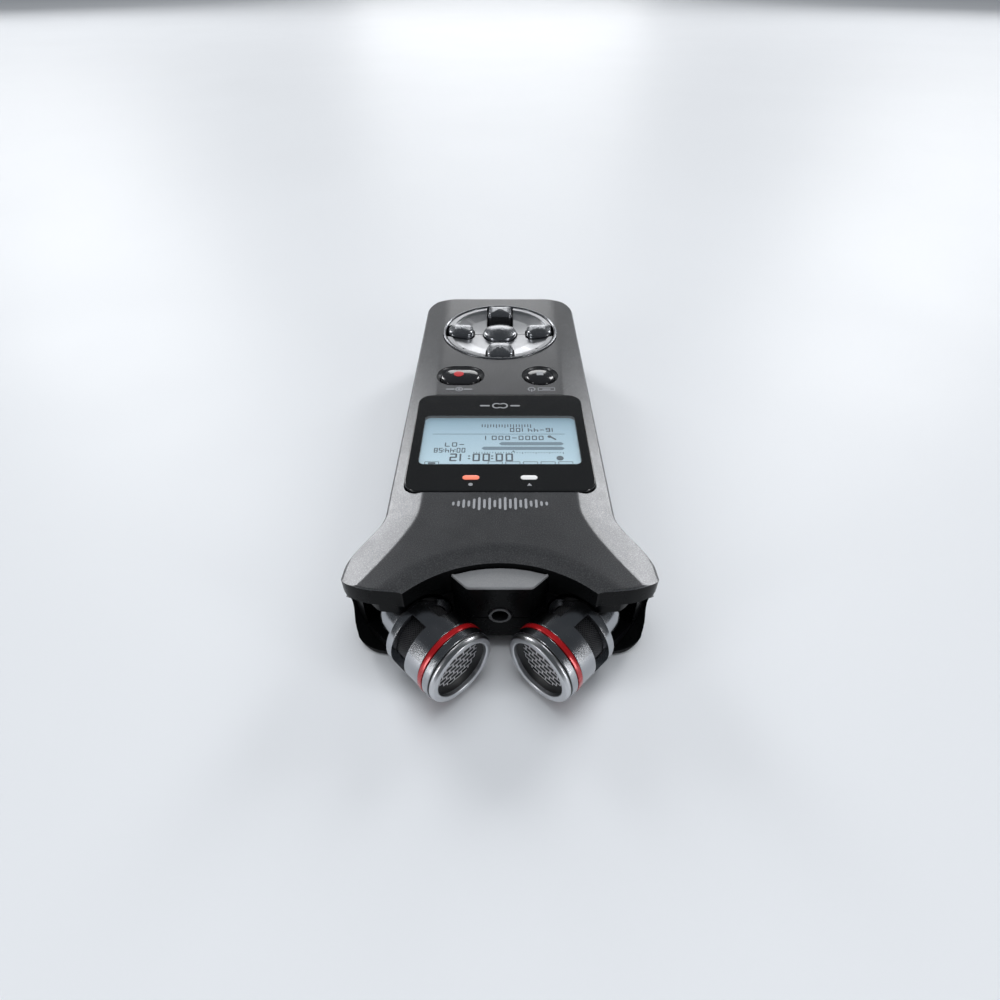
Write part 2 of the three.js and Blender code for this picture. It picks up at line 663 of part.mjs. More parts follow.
place('tripod_insert', lathe([
  [0, TRIPOD.hole], [TRIPOD.bore, TRIPOD.hole], [TRIPOD.bore, 0], [TRIPOD.outer, 0],
  [TRIPOD.outer, TRIPOD.depth], [0, TRIPOD.depth],
], 28).rotateX(RIGHT_ANGLE), 'brass').position.y = TRIPOD.y;

for (const [end, y] of [['front', SCREWS.front], ['rear', SCREWS.back]]) {
  for (const [hand, side] of [['left', -1], ['right', 1]]) {
    const screw = place(`case_screw_${end}_${hand}`, lathe([
      [0, 0.12], [SCREWS.head, 0.12], [SCREWS.head, 0.65], [SCREWS.shank, 0.65],
      [SCREWS.shank, 11.5], [0, 12],
    ], 10).rotateX(RIGHT_ANGLE), 'steel');
    screw.position.set(side * SCREWS.x, y, 0);
  }
}

// ---------------------------------------------------------------- microphones

function makeBarrel() {
  const tube = toSolid(lathe([
    [0, BARREL_BACK], [8, BARREL_BACK], [BARREL_R, BARREL_BACK + 0.6], [BARREL_R, 17.2],
    [8, 17.2], [8, 18.9], [BARREL_R, 18.9], [BARREL_R, 20.6], [6.95, 20.6], [6.95, 7.4], [0, 7.4],
  ], 32));
  const windows = [0, 1, 2].map((k) => {
    const sector = new THREE.Shape();
    const start = RIGHT_ANGLE + THREE.MathUtils.degToRad(STRUT_ANGLE / 2 + 120 * k);
    const end = start + THREE.MathUtils.degToRad(120 - STRUT_ANGLE);
    sector.absarc(0, 0, 12, start, end, false);
    sector.lineTo(5 * Math.cos(end), 5 * Math.sin(end));
    sector.absarc(0, 0, 5, end, start, true);
    return prism(sector, 0, 4.5, 4);
  });
  const upright = windows.map((opening) => opening.rotate([-90, 0, 0]).scale([1, 1, -1]));
  return cut(tube, upright.map((opening) => opening.translate([0, 8.6, 0])));
}

function makeMicrophone(hand, side) {
  const pivot = new THREE.Group();
  pivot.position.set(side * PIVOT_X, PIVOT_Y, MIC_Z);
  pivot.rotation.z = side * 0.75 * Math.PI;
  recorder.add(pivot);

  place(`mic_barrel_${hand}`, makeBarrel(), 'darkChrome', pivot);
  place(`mic_rim_${hand}`, lathe([
    [6.8, 20.9], [RIM_R, 20.9], [RIM_R - 0.2, MIC_LENGTH], [6.8, MIC_LENGTH],
  ], 32), 'silver', pivot);
  place(`mic_red_ring_${hand}`, lathe([
    [RED_RING.inner, RED_RING.back], [RED_RING.outer, RED_RING.back],
    [RED_RING.outer, RED_RING.front], [RED_RING.inner, RED_RING.front],
  ], 32), 'red', pivot);
  place(`mic_grille_${hand}`, lathe([[0, 19.3], [6.6, 19.3], [6.6, 19.9], [0, 19.9]], 24), 'mesh', pivot);
  place(`mic_mesh_${hand}`, lathe([[6.2, 7.8], [6.6, 7.8], [6.6, 14.6], [6.2, 14.6]], 20), 'mesh', pivot);
  place(`mic_capsule_${hand}`, lathe([[0, 7.8], [5.8, 7.8], [5.8, 18], [0, 18]], 16), 'steel', pivot);

  const neck = toSolid(lathe([
    [0, -3], [2.6, -2.6], [4.4, -1.2], [NECK_R, 1.8], [NECK_R, BARREL_BACK - GAP],
    [0, BARREL_BACK - GAP],
  ], 20));
  place(`mic_neck_${hand}`, cut(neck, [disc(0, 0, PIN_R + GAP, -10, 10, 14)]), 'silver', pivot);
  place(`mic_pin_${hand}`, disc(side * PIVOT_X, PIVOT_Y, PIN_R, 1.6, 22.2, 14), 'steel');
}

makeMicrophone('left', -1);
makeMicrophone('right', 1);

export default recorder;
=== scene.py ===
import json
import math

import bmesh
import bpy
from mathutils import Matrix, Vector
from mathutils.bvhtree import BVHTree


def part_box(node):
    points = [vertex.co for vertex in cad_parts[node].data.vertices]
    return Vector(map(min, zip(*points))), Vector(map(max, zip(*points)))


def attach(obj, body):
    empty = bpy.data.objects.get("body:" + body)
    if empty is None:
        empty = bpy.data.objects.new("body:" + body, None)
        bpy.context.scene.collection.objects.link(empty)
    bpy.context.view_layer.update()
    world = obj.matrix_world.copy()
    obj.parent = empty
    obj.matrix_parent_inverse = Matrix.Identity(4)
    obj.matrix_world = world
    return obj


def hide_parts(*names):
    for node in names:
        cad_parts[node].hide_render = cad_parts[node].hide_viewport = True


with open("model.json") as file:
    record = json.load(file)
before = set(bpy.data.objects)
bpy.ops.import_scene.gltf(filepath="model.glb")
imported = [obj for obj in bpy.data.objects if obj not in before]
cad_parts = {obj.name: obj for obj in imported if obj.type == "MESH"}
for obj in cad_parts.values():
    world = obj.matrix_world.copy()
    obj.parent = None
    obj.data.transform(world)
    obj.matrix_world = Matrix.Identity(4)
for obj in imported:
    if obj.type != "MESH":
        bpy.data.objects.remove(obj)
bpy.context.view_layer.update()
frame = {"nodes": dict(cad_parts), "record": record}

# Every length below is in millimetres; meshes are scaled to metres when they become objects.
MM = 0.001
BODY = "body"

# body outline and layers, as in the frame
TAIL_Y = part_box("front_case")[1].y / MM
BODY_HALF = 27.5
TAIL_CORNER = 7.5
FLARE_START, FLARE_END = -38.5, -55.5
SHOULDER_HALF = 34.2
NOSE_Y = -63.6
RECESS_TOP_Y, RECESS_R, RECESS_EDGE_X = -55, 28.4, 20.2
REAR_TOP, MID_BOTTOM, MID_TOP = 16.6, 16.75, 19.75
FRONT_BOTTOM, FRONT_TOP = 19.9, 25
WALL = 1.7
BELLY_R = 7
CREASE_HALF, CREASE_START = 18.9, -37.5
FLANK_SLOPE = 0.235
EDGE_R = 1.1
TAIL_ROUND = 1.7

# microphones
PIVOT_X, PIVOT_Y, MIC_Z = 23.3, -57.3, 10.8
MIC_LENGTH, BARREL_R, BARREL_BACK = 22.1, 8.6, 6.1

# front face
PANEL = dict(half=24, front=-32.7, back=10.2, top=25.2, bottom=22.7)
WINDOW = dict(half=21.1, front=-22.3, back=-0.7)
LENS = dict(x=7.3, y=-27.6, length=4.2, width=1.6)
PAD_Y, PAD_R = 51.4, 19.95
RECORD_X, POWER_X, BUTTON_Y = -12.4, 12.5, 21.3
KEY_BOTTOM = 20.4
MARK_HEIGHT = 0.04

# flanks, back and input jack
SIDE_Z = 11.6
JACK_Z = 13.2
SCREW_X = 18.2
SCREW_ROWS = (("front", -34), ("rear", 69.5))
TRIPOD_Y, SPEAKER_Y = -25, -3
SIDES = (("left", -1), ("right", 1))


# ---- mesh building

def arc(cx, cy, r, a0, a1, count):
    """Points on an arc, angles in degrees, both ends included."""
    turns = [math.radians(a0 + (a1 - a0) * k / count) for k in range(count + 1)]
    return [(cx + r * math.cos(t), cy + r * math.sin(t)) for t in turns]


def rounded_rect(x0, y0, x1, y1, r, count=8):
    return (arc(x1 - r, y0 + r, r, -90, 0, count) + arc(x1 - r, y1 - r, r, 0, 90, count)
            + arc(x0 + r, y1 - r, r, 90, 180, count) + arc(x0 + r, y0 + r, r, 180, 270, count))


def centred_rect(x, y, width, height, r, count=8):
    return rounded_rect(x - width / 2, y - height / 2, x + width / 2, y + height / 2, r, count)


def circle(x, y, r, count=48):
    return arc(x, y, r, 0, 360, count)[:-1]


def sector(x, y, near, far, a0, a1, count=24):
    """Part of a flat ring, as a closed outline."""
    return arc(x, y, far, a0, a1, count) + arc(x, y, near, a1, a0, count)


def curve(start, bend, end, count):
    """A quadratic curve from start to end, pulled towards bend."""
    a, b, c = Vector(start), Vector(bend), Vector(end)
    shares = [k / count for k in range(count + 1)]
    return [tuple(a * (1 - t) ** 2 + b * 2 * t * (1 - t) + c * t * t) for t in shares]


def fillet(points, r, count=5):
    """The closed outline with each corner turned into a small curve."""
    out = []
    for k, point in enumerate(points):
        here = Vector(point)
        before, after = Vector(points[k - 1]), Vector(points[(k + 1) % len(points)])
        reach = min(r, (before - here).length * 0.45, (after - here).length * 0.45)
        start = here + (before - here).normalized() * reach
        end = here + (after - here).normalized() * reach
        out += curve(start, here, end, count)
    return out


def inset(points, distance):
    """The closed counter-clockwise outline moved inwards along its normals."""
    out = []
    for k, point in enumerate(points):
        before, after = Vector(points[k - 1]), Vector(points[(k + 1) % len(points)])
        along = (after - before).normalized()
        out.append((point[0] - along.y * distance, point[1] + along.x * distance))
    return out


def stack(rings, close_top=True, close_bottom=True):
    """A bmesh through rings of 3-D points, all with the same count; a ring of one point is a tip."""
    bm = bmesh.new()
    layers = [[bm.verts.new(p) for p in ring] for ring in rings]
    for low, high in zip(layers, layers[1:]):
        count = max(len(low), len(high))
        for k in range(count):
            j = (k + 1) % count
            if len(high) == 1:
                bm.faces.new((low[k], low[j], high[0]))
            elif len(low) == 1:
                bm.faces.new((low[0], high[j], high[k]))
            else:
                bm.faces.new((low[k], low[j], high[j], high[k]))
    if close_bottom and len(layers[0]) > 2:
        bm.faces.new(layers[0][::-1])
    if close_top and len(layers[-1]) > 2:
        bm.faces.new(layers[-1])
    return bm


def solid(outline, levels):
    """A prism of an outline in (x, y) through levels of (z, inset)."""
    rings = []
    for z, shrink in levels:
        flat = inset(outline, shrink) if shrink else outline
        rings.append([(x, y, z) for x, y in flat])
    return stack(rings)


def prism(outline, z0, z1):
    return solid(outline, [(z0, 0), (z1, 0)])


def mark(outline):
    return prism(outline, 0, MARK_HEIGHT)


def plate(outline, z0, z1, r=0.2):
    """A prism with rounded top edges and a small chamfer underneath."""
    top = [(z1 - r * (1 - math.sin(t)), r * (1 - math.cos(t))) for t in (0, 0.4, 0.8, 1.2, math.pi / 2)]
    return solid(outline, [(z0, r * 0.5), (z0 + r * 0.5, 0), *top])


def crowned(outline, z0, z_edge, crown, r, steps=7):
    """A key cap: straight sides, a rounded edge and a domed top."""
    cx = sum(p[0] for p in outline) / len(outline)
    cy = sum(p[1] for p in outline) / len(outline)
    rings = [[(x, y, z0) for x, y in outline]]
    for t in (0, 0.35, 0.7, 1.05, 1.35):
        flat = inset(outline, r * (1 - math.cos(t)))
        rings.append([(x, y, z_edge - r * (1 - math.sin(t))) for x, y in flat])
    edge, edge_z = inset(outline, r * (1 - math.cos(1.35))), rings[-1][0][2]
    for k in range(1, steps):
        s = 1 - k / steps
        z = edge_z + (z_edge - edge_z) * min(1, k / 2) + crown * (1 - s * s)
        rings.append([(cx + (x - cx) * s, cy + (y - cy) * s, z) for x, y in edge])
    rings.append([(cx, cy, z_edge + crown)])
    return stack(rings)


def lathe(profile, segments=96, closed=False):
    """Turns (r, z) points about Z. A closed profile makes a ring; an open one starts and ends on the axis."""
    turns = [2 * math.pi * k / segments for k in range(segments)]
    rings = []
    for r, z in profile + (profile[:1] if closed else []):
        if r < 1e-6:
            rings.append([(0, 0, z)])
        else:
            rings.append([(r * math.cos(t), r * math.sin(t), z) for t in turns])
    bm = stack(rings, close_top=False, close_bottom=False)
    if closed:
        bmesh.ops.remove_doubles(bm, verts=bm.verts, dist=1e-5)
    return bm


def soft_profile(points, r=0.15, closed=False):
    """The (r, z) profile with its inner corners rounded."""
    if closed:
        return fillet(points, r, 3)
    return [points[0], *fillet(points, r, 3)[4:-4], points[-1]]


def cube(x0, y0, z0, x1, y1, z1):
    return prism([(x0, y0), (x1, y0), (x1, y1), (x0, y1)], z0, z1)


def moved(bm, matrix):
    bmesh.ops.transform(bm, matrix=matrix, verts=bm.verts)
    return bm


def shifted(bm, x, y, z=0):
    return moved(bm, Matrix.Translation((x, y, z)))


ALONG_Y = Matrix.Rotation(math.radians(-90), 4, "X")     # local Z becomes +Y
ALONG_X = Matrix(((0, 0, 1, 0), (1, 0, 0, 0), (0, 1, 0, 0), (0, 0, 0, 1)))   # (y, z) outlines along X


def merge(*parts):
    """Several bmeshes in one, side by side."""
    whole = bmesh.new()
    for part in parts:
        mesh = bpy.data.meshes.new("part")
        part.to_mesh(mesh)
        whole.from_mesh(mesh)
        bpy.data.meshes.remove(mesh)
        part.free()
    return whole


def linked(name, data):
    obj = bpy.data.objects.new(name, data)
    bpy.context.scene.collection.objects.link(obj)
    return obj


def to_object(name, bm):
    bmesh.ops.recalc_face_normals(bm, faces=bm.faces)
    bmesh.ops.scale(bm, vec=(MM,) * 3, verts=bm.verts)
    mesh = bpy.data.meshes.new(name)
    bm.to_mesh(mesh)
    bm.free()
    return linked(name, mesh)


def apply_modifiers(obj):
    graph = bpy.context.evaluated_depsgraph_get()
    mesh = bpy.data.meshes.new_from_object(obj.evaluated_get(graph))
    obj.modifiers.clear()
    old = obj.data
    obj.data = mesh
    bpy.data.meshes.remove(old)


def bevelled(obj, width, angle):
    bevel = obj.modifiers.new("edges", "BEVEL")
    bevel.width = width * MM
    bevel.segments = 2
    bevel.limit_method = "ANGLE"
    bevel.angle_limit = math.radians(angle)
    apply_modifiers(obj)
    return obj


def carve(obj, cutters, operation="DIFFERENCE"):
    """Cuts the bmeshes in cutters out of obj, or keeps what they share."""
    for k, cutter in enumerate(cutters):
        tool = to_object(f"tool_{k}", cutter)
        change = obj.modifiers.new("cut", "BOOLEAN")
        change.operation = operation
        change.solver = "EXACT"
        change.object = tool
        apply_modifiers(obj)
        data = tool.data
        bpy.data.objects.remove(tool)
        bpy.data.meshes.remove(data)
    return obj


def add(name, shape, body, slot, material, *nodes, angle=32):
    """Finishes a piece: smooth shading, material, body and the CAD nodes that it stands for. The slot
    argument is not used.
    """
    obj = shape if isinstance(shape, bpy.types.Object) else to_object(name, shape)
    obj.name = name
    mesh = obj.data
    mesh.name = name
    mesh.materials.clear()
    mesh.materials.append(material)
    mesh.polygons.foreach_set("use_smooth", [True] * len(mesh.polygons))
    mesh.set_sharp_from_angle(angle=math.radians(angle))
    weighted = obj.modifiers.new("weighted", "WEIGHTED_NORMAL")
    weighted.keep_sharp = True
    weighted.weight = 60
    if nodes:
        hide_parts(*nodes)
    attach(obj, body)
    return obj


def refined(node, width):
    """A copy of a CAD node with clean flat faces and rounded edges."""
    source = frame["nodes"][node]
    bm = bmesh.new()
    bm.from_mesh(source.data)
    bmesh.ops.transform(bm, matrix=source.matrix_world, verts=bm.verts)
    bmesh.ops.scale(bm, vec=(1 / MM,) * 3, verts=bm.verts)
    bmesh.ops.remove_doubles(bm, verts=bm.verts, dist=1e-3)
    bmesh.ops.dissolve_limit(bm, angle_limit=math.radians(1), verts=bm.verts, edges=bm.edges)
    return bevelled(to_object(f"{node}_piece", bm), width, 35)


def drape(bm, target, lift=0.02):
    """Lays a flat mark on the top of a piece, following its curve."""
    bmesh.ops.triangulate(bm, faces=bm.faces[:])
    long_edges = [e for e in bm.edges if e.calc_length() > 0.3]
    bmesh.ops.subdivide_edges(bm, edges=long_edges, cuts=3, use_grid_fill=True)
    tree = BVHTree.FromObject(target, bpy.context.evaluated_depsgraph_get())
    for v in bm.verts:
        hit = tree.ray_cast(Vector((v.co.x * MM, v.co.y * MM, 0.05)), Vector((0, 0, -1)))[0]
        if hit:
            v.co.z += hit.z / MM + lift
    return bm


# ---- materials

def make_node(tree, kind, **values):
    """A shader node with some of its inputs set; an underscore stands for a space."""
    node = tree.nodes.new("ShaderNode" + kind)
    set_inputs(node, **values)
    return node


def set_inputs(node, **values):
    for name, value in values.items():
        node.inputs[name.replace("_", " ")].default_value = value


def ramp_node(tree, *stops):
    node = make_node(tree, "ValToRGB")
    while len(node.color_ramp.elements) < len(stops):
        node.color_ramp.elements.new(0.5)
    for element, (place, value) in zip(node.color_ramp.elements, stops):
        element.position = place
        element.color = (*value, 1)
    return node


def noise_node(tree, scale, detail):
    """Noise in object space, scale in cycles per metre."""
    place = make_node(tree, "TexCoord")
    node = make_node(tree, "TexNoise", Scale=scale, Detail=detail)
    tree.links.new(place.outputs["Object"], node.inputs["Vector"])
    return node


def scaled(colour, factor):
    return tuple(min(1, c * factor) for c in colour)


def shader_of(material):
    return material.node_tree.nodes["Principled BSDF"]


def surface(name, base, rough, metal=0, vary=0.08, patch=90, grain=2500, depth=0.03,
            rough_vary=0.06, coat=0, coat_rough=0.1, specular=0.5, wear=0, flake=0):
    """A finish with colour patches, fine grain, uneven gloss and, where asked, worn edges or flakes."""
    material = bpy.data.materials.new(name)
    material.use_nodes = True
    tree, shader = material.node_tree, shader_of(material)
    link = tree.links.new
    set_inputs(shader, Metallic=metal, Coat_Weight=coat, Coat_Roughness=coat_rough,
               Specular_IOR_Level=specular)

    tint = ramp_node(tree, (0.3, scaled(base, 1 - vary)), (0.7, scaled(base, 1 + vary)))
    link(noise_node(tree, patch, 4).outputs["Fac"], tint.inputs["Fac"])
    colour = tint.outputs["Color"]

    fine = noise_node(tree, grain, 2)
    if flake:
        speck = ramp_node(tree, (0.45, (0, 0, 0)), (0.72, (flake,) * 3))
        link(fine.outputs["Fac"], speck.inputs["Fac"])
        blend = make_node(tree, "Mix", Factor=1)
        blend.data_type = "RGBA"
        blend.blend_type = "ADD"
        link(colour, blend.inputs[6])
        link(speck.outputs["Color"], blend.inputs[7])
        colour = blend.outputs[2]
    if wear:
        form = make_node(tree, "NewGeometry")
        edge = ramp_node(tree, (0.52, (0, 0, 0)), (0.62, (wear,) * 3))
        link(form.outputs["Pointiness"], edge.inputs["Fac"])
        lighter = make_node(tree, "Mix")
        lighter.data_type = "RGBA"
        link(edge.outputs["Color"], lighter.inputs["Factor"])
        link(colour, lighter.inputs[6])
        lighter.inputs[7].default_value = (*scaled(base, 2.2), 1)
        colour = lighter.outputs[2]
    link(colour, shader.inputs["Base Color"])

    gloss = make_node(tree, "MapRange", To_Min=max(0.02, rough - rough_vary),
                      To_Max=min(1, rough + rough_vary))
    link(noise_node(tree, patch * 3.1, 3).outputs["Fac"], gloss.inputs["Value"])
    link(gloss.outputs["Result"], shader.inputs["Roughness"])

    bump = make_node(tree, "Bump", Strength=1, Distance=depth * MM)
    link(fine.outputs["Fac"], bump.inputs["Height"])
    link(bump.outputs["Normal"], shader.inputs["Normal"])
    return material


def glowing(material, colour, strength):
    set_inputs(shader_of(material), Emission_Color=(*colour, 1), Emission_Strength=strength)
    return material


def liquid_crystal():
    """Pale blue backlit sheet, brighter towards the microphones."""
    material = surface("liquid_crystal", (0.55, 0.74, 0.84), 0.35, vary=0.03, patch=60, depth=0.004)
    tree, shader = material.node_tree, shader_of(material)
    link = tree.links.new
    place = make_node(tree, "TexCoord")
    split = make_node(tree, "SeparateXYZ")
    span = make_node(tree, "MapRange", From_Min=WINDOW["back"] * MM, From_Max=WINDOW["front"] * MM)
    fade = ramp_node(tree, (0, (0.16, 0.28, 0.36)), (0.3, (0.28, 0.42, 0.51)), (1, (0.42, 0.57, 0.65)))
    link(place.outputs["Object"], split.inputs["Vector"])
    link(split.outputs["Y"], span.inputs["Value"])
    link(span.outputs["Result"], fade.inputs["Fac"])
    link(fade.outputs["Color"], shader.inputs["Base Color"])
    link(fade.outputs["Color"], shader.inputs["Emission Color"])
    set_inputs(shader, Emission_Strength=0.22)
    return material


def clear_sheet():
    material = surface("clear_sheet", (0.97, 0.99, 1), 0.03, vary=0.01, depth=0.001, rough_vary=0.01)
    set_inputs(shader_of(material), Alpha=0.06, IOR=1.49)
    return material


PAINT = surface("graphite_paint", (0.115, 0.118, 0.124), 0.35, metal=0.85, vary=0.05, patch=120,
                grain=4200, depth=0.018, coat=0.25, coat_rough=0.3, wear=0.25, flake=0.1)
BLACK = surface("black_plastic", (0.018, 0.018, 0.02), 0.42, vary=0.15, grain=3800, specular=0.14, wear=0.15)
SATIN_BLACK = surface("satin_black", (0.004, 0.0043, 0.0046), 0.28, vary=0.1, grain=3000, depth=0.01,
                      specular=0.06, wear=0.2)
GLOSS = surface("gloss_black", (0.018, 0.018, 0.02), 0.14, vary=0.1, grain=900, depth=0.003,
                rough_vary=0.03, coat=0.6, coat_rough=0.04)
SMOKE = surface("smoked_panel", (0.012, 0.0125, 0.013), 0.16, vary=0.06, grain=900, depth=0.002,
                rough_vary=0.04, coat=0.5, coat_rough=0.05)
CHROME = surface("dark_chrome", (0.38, 0.39, 0.41), 0.2, metal=1, vary=0.05, patch=200, grain=1500,
                 depth=0.003, rough_vary=0.04, wear=0.3)
KEY_CHROME = surface("key_chrome", (0.3, 0.31, 0.33), 0.25, metal=0.95, vary=0.05, patch=200, grain=1800,
                     depth=0.001, rough_vary=0.03, coat=0.3, coat_rough=0.08, wear=0.3)
SATIN = surface("satin_silver", (0.6, 0.61, 0.63), 0.33, metal=1, vary=0.05, patch=150, grain=3500,
                depth=0.008, wear=0.3)
BRUSHED = surface("brushed_plate", (0.5, 0.51, 0.53), 0.3, metal=0.95, vary=0.06, patch=160,
                  grain=4500, depth=0.01, wear=0.3, flake=0.06)
RED = surface("red_ring", (0.48, 0.01, 0.014), 0.25, metal=0.35, depth=0.005, coat=0.5)
WIRE = surface("black_wire", (0.1, 0.1, 0.105), 0.3, metal=0.8, vary=0.2, grain=4000, depth=0.01)
LATTICE = surface("grille_lattice", (0.58, 0.58, 0.6), 0.4, metal=0.3, vary=0.12, grain=4000, depth=0.01)
# Near-black painted shade for the hollows of each microphone: the collar under the rim, the grille cup, the
# sheet behind the grille and the capsule element, whose own finishes are dark chrome, black mesh and steel.
SHADE = surface("painted_recess_shade", (0.01, 0.01, 0.011), 0.5, vary=0.2, depth=0.02)
RUBBER = surface("dark_rubber", (0.022, 0.022, 0.024), 0.75, vary=0.15, grain=4200, depth=0.05)
BOARD = surface("circuit_board", (0.015, 0.1, 0.055), 0.4, vary=0.15, patch=400, depth=0.02)
STEEL = surface("plated_steel", (0.6, 0.61, 0.62), 0.25, metal=1, vary=0.06, patch=300, grain=3000,
                depth=0.01, wear=0.2)
BRASS = surface("turned_brass", (0.7, 0.52, 0.22), 0.28, metal=1, patch=200, grain=3000, depth=0.01)
CELL = surface("cell_jacket", (0.3, 0.32, 0.35), 0.3, metal=0.5, depth=0.008)
PRINT = surface("grey_print", (0.34, 0.35, 0.37), 0.5, vary=0.06, grain=3500, depth=0.01)
RED_PRINT = surface("red_print", (0.5, 0.012, 0.018), 0.4, vary=0.06, grain=3500, depth=0.01)
# Painted highlight: a lighter grey for the top of the black jack block, standing in for the light falling on
# it from above.
LIT_TOP_GREY = surface("painted_lit_top_grey", (0.28, 0.285, 0.295), 0.45, metal=0.3, vary=0.06, patch=150, grain=4800,
                    depth=0.012, wear=0.2, flake=0.05)
SEGMENT = surface("lcd_segment", (0.035, 0.065, 0.09), 0.4, vary=0.05, grain=2000, depth=0.002)
PALE_SEGMENT = surface("lcd_bar", (0.12, 0.2, 0.26), 0.4, vary=0.05, grain=2000, depth=0.002)
CORAL = glowing(surface("coral_lens", (0.95, 0.25, 0.17), 0.3, vary=0.06, grain=1500, depth=0.004,
                        coat=0.4), (1, 0.22, 0.12), 0.35)
WHITE = glowing(surface("white_lens", (0.8, 0.8, 0.8), 0.3, vary=0.04, grain=1500, depth=0.004,
                        coat=0.4), (1, 1, 1), 0.12)
DISPLAY = liquid_crystal()
CLEAR = clear_sheet()


# ---- body form

def round_drop(u):
    held = min(1, max(0, u))
    return 1 - math.sqrt(1 - held * held)


def smoothstep(u):
    held = min(1, max(0, u))
    return held * held * (3 - 2 * held)


def half_width(y):
    flare = smoothstep((FLARE_START - y) / (FLARE_START - FLARE_END))
    corner = TAIL_CORNER * round_drop((y - (TAIL_Y - TAIL_CORNER)) / TAIL_CORNER)
    return BODY_HALF + (SHOULDER_HALF - BODY_HALF) * flare - corner


def crease_half(y):
    past = max(0, CREASE_START - y)
    return CREASE_HALF + 0.73 * past * past / (past + 14.2)


def stations(front, back):
    row = []
    y = front
    while y < CREASE_START:
        row.append(y)
        y += 0.9
    corner = TAIL_Y - TAIL_CORNER
    reach = math.asin((back - corner) / TAIL_CORNER)
    row += [CREASE_START + (corner - CREASE_START) * k / 18 for k in range(19)]
    row += [corner + TAIL_CORNER * math.sin(reach * k / 14) for k in range(1, 15)]
    return row


def mirrored(right):
    return right + [(-x, z) for x, z in reversed(right)]


def loft(rows, section_at):
    """A solid through one closed (x, z) section at each place along Y."""
    rings = [[(x, y, z) for x, z in section_at(y)] for y in rows]
    return stack(rings)


def front_section(y, shrink, top, bottom, across=14):
    half = half_width(y) - shrink
    crease = min(crease_half(y), half - EDGE_R - 0.3)
    ridge = top - TAIL_ROUND * round_drop((y - (TAIL_Y - TAIL_ROUND)) / TAIL_ROUND)
    edge = ridge - FLANK_SLOPE * (half - EDGE_R - crease)
    soft = min(0.45 + 2.2 * smoothstep((y - 5) / 55), (half - EDGE_R - crease) * 0.9)
    points = [(half, bottom), (half, edge - EDGE_R * 1.4)]
    points += [(half - EDGE_R * (1 - math.cos(t)), edge - EDGE_R * 1.4 * (1 - math.sin(t)))
               for t in (0.3, 0.6, 0.9, 1.2)]
    points.append((half - EDGE_R, edge))
    for k in range(5):
        u = k / 2 - 1
        sink = FLANK_SLOPE * soft * (1 - u) ** 2 / 4
        points.append((crease - soft * u, ridge - sink))
    points += [((crease - soft) * (1 - k / across), ridge) for k in range(1, across)]
    return mirrored([*points, (0.001, ridge)])


def scoop(x, y):
    """The shallow dish in the top face, next to the recess for the microphones."""
    inside = RECESS_R - math.hypot(x, y + 78.3)
    return 0.4 * smoothstep(inside / 2.4) + 0.08 * max(0, inside - 2)


def belly_section(y, shrink, top, bottom, radius):
    half = half_width(y) - shrink
    start = TAIL_Y - shrink - BELLY_R
    lift = BELLY_R * 0.8 * round_drop((y - start) / (BELLY_R + 0.4))
    turns = [math.pi / 2 * k / 9 for k in range(10)]
    points = [(half - radius + radius * math.sin(t), bottom + lift + radius * (1 - math.cos(t)))
              for t in turns]
    return mirrored([(0.001, bottom + lift), *points, (half, top)])


def shoulder_outline(setback):
    """The region in front of the shoulders, counter-clockwise, with the microphone recess."""
    reach = math.degrees(math.asin(RECESS_EDGE_X / RECESS_R))
    bend = curve((SHOULDER_HALF + 0.1, -57), (SHOULDER_HALF, -61.4), (27, -62.6), 10)
    nose = (RECESS_EDGE_X + 0.6, -63.2)
    recess = arc(0, RECESS_TOP_Y - RECESS_R, RECESS_R, 90 - reach, 90 + reach, 36)
    right = [(45, -57), *bend, nose]
    left = [(-x, y) for x, y in reversed(right)]
    points = [(45, -90), *right, *recess, *left, (-45, -90)]
    return [(x, y + setback) if y > -80 else (x, y) for x, y in points]


def shoulder_cutter(setback, low, high, round_top=0, round_bottom=0):
    """Cuts the shoulders to shape, easing the edges at the top and bottom of the wall."""
    outline = shoulder_outline(setback)
    levels = [(low - 1, -round_bottom)]
    if round_bottom:
        levels += [(low, -round_bottom), (low + round_bottom * 0.4, -round_bottom * 0.35),
                   (low + round_bottom, 0)]
    if round_top:
        levels += [(high - round_top, 0), (high - round_top * 0.4, -round_top * 0.35),
                   (high, -round_top)]
    levels.append((high + 1.5, -round_top - (1.5 if round_top else 0)))
    return solid(outline, levels)


def mic_sweep(side):
    """The space that one microphone passes through, in three solids."""
    near, far, radius = BARREL_BACK - 0.6, MIC_LENGTH + 2, BARREL_R + 0.45
    x = side * PIVOT_X
    parts = [prism(sector(x, PIVOT_Y, near, far, 225, 315), MIC_Z - radius, MIC_Z + radius)]
    for way in (225, 315):
        rod = lathe([(0, near), (radius, near), (radius, far), (0, far)], 56)
        turn = Matrix.Translation((x, PIVOT_Y, MIC_Z)) @ Matrix.Rotation(math.radians(way - 90), 4, "Z")
        parts.append(moved(rod, turn @ ALONG_Y))
    return parts


def disc(x, y, r, z0, z1, count=40):
    return prism(circle(x, y, r, count), z0, z1)


def well(outline, top, ease, floor=15):
    """A hole straight through, with an eased rim at the top."""
    return solid(outline, [(floor, 0), (top - ease, 0), (top - ease * 0.4, -ease * 0.3), (top, -ease),
                           (top + 2, -ease - 2)])


# ---- casings

def front_rect(box, spare, r, count):
    """The outline of the panel or the window, wider by a spare all round."""
    return rounded_rect(-box["half"] - spare, box["front"] - spare, box["half"] + spare,
                        box["back"] + spare, r, count)


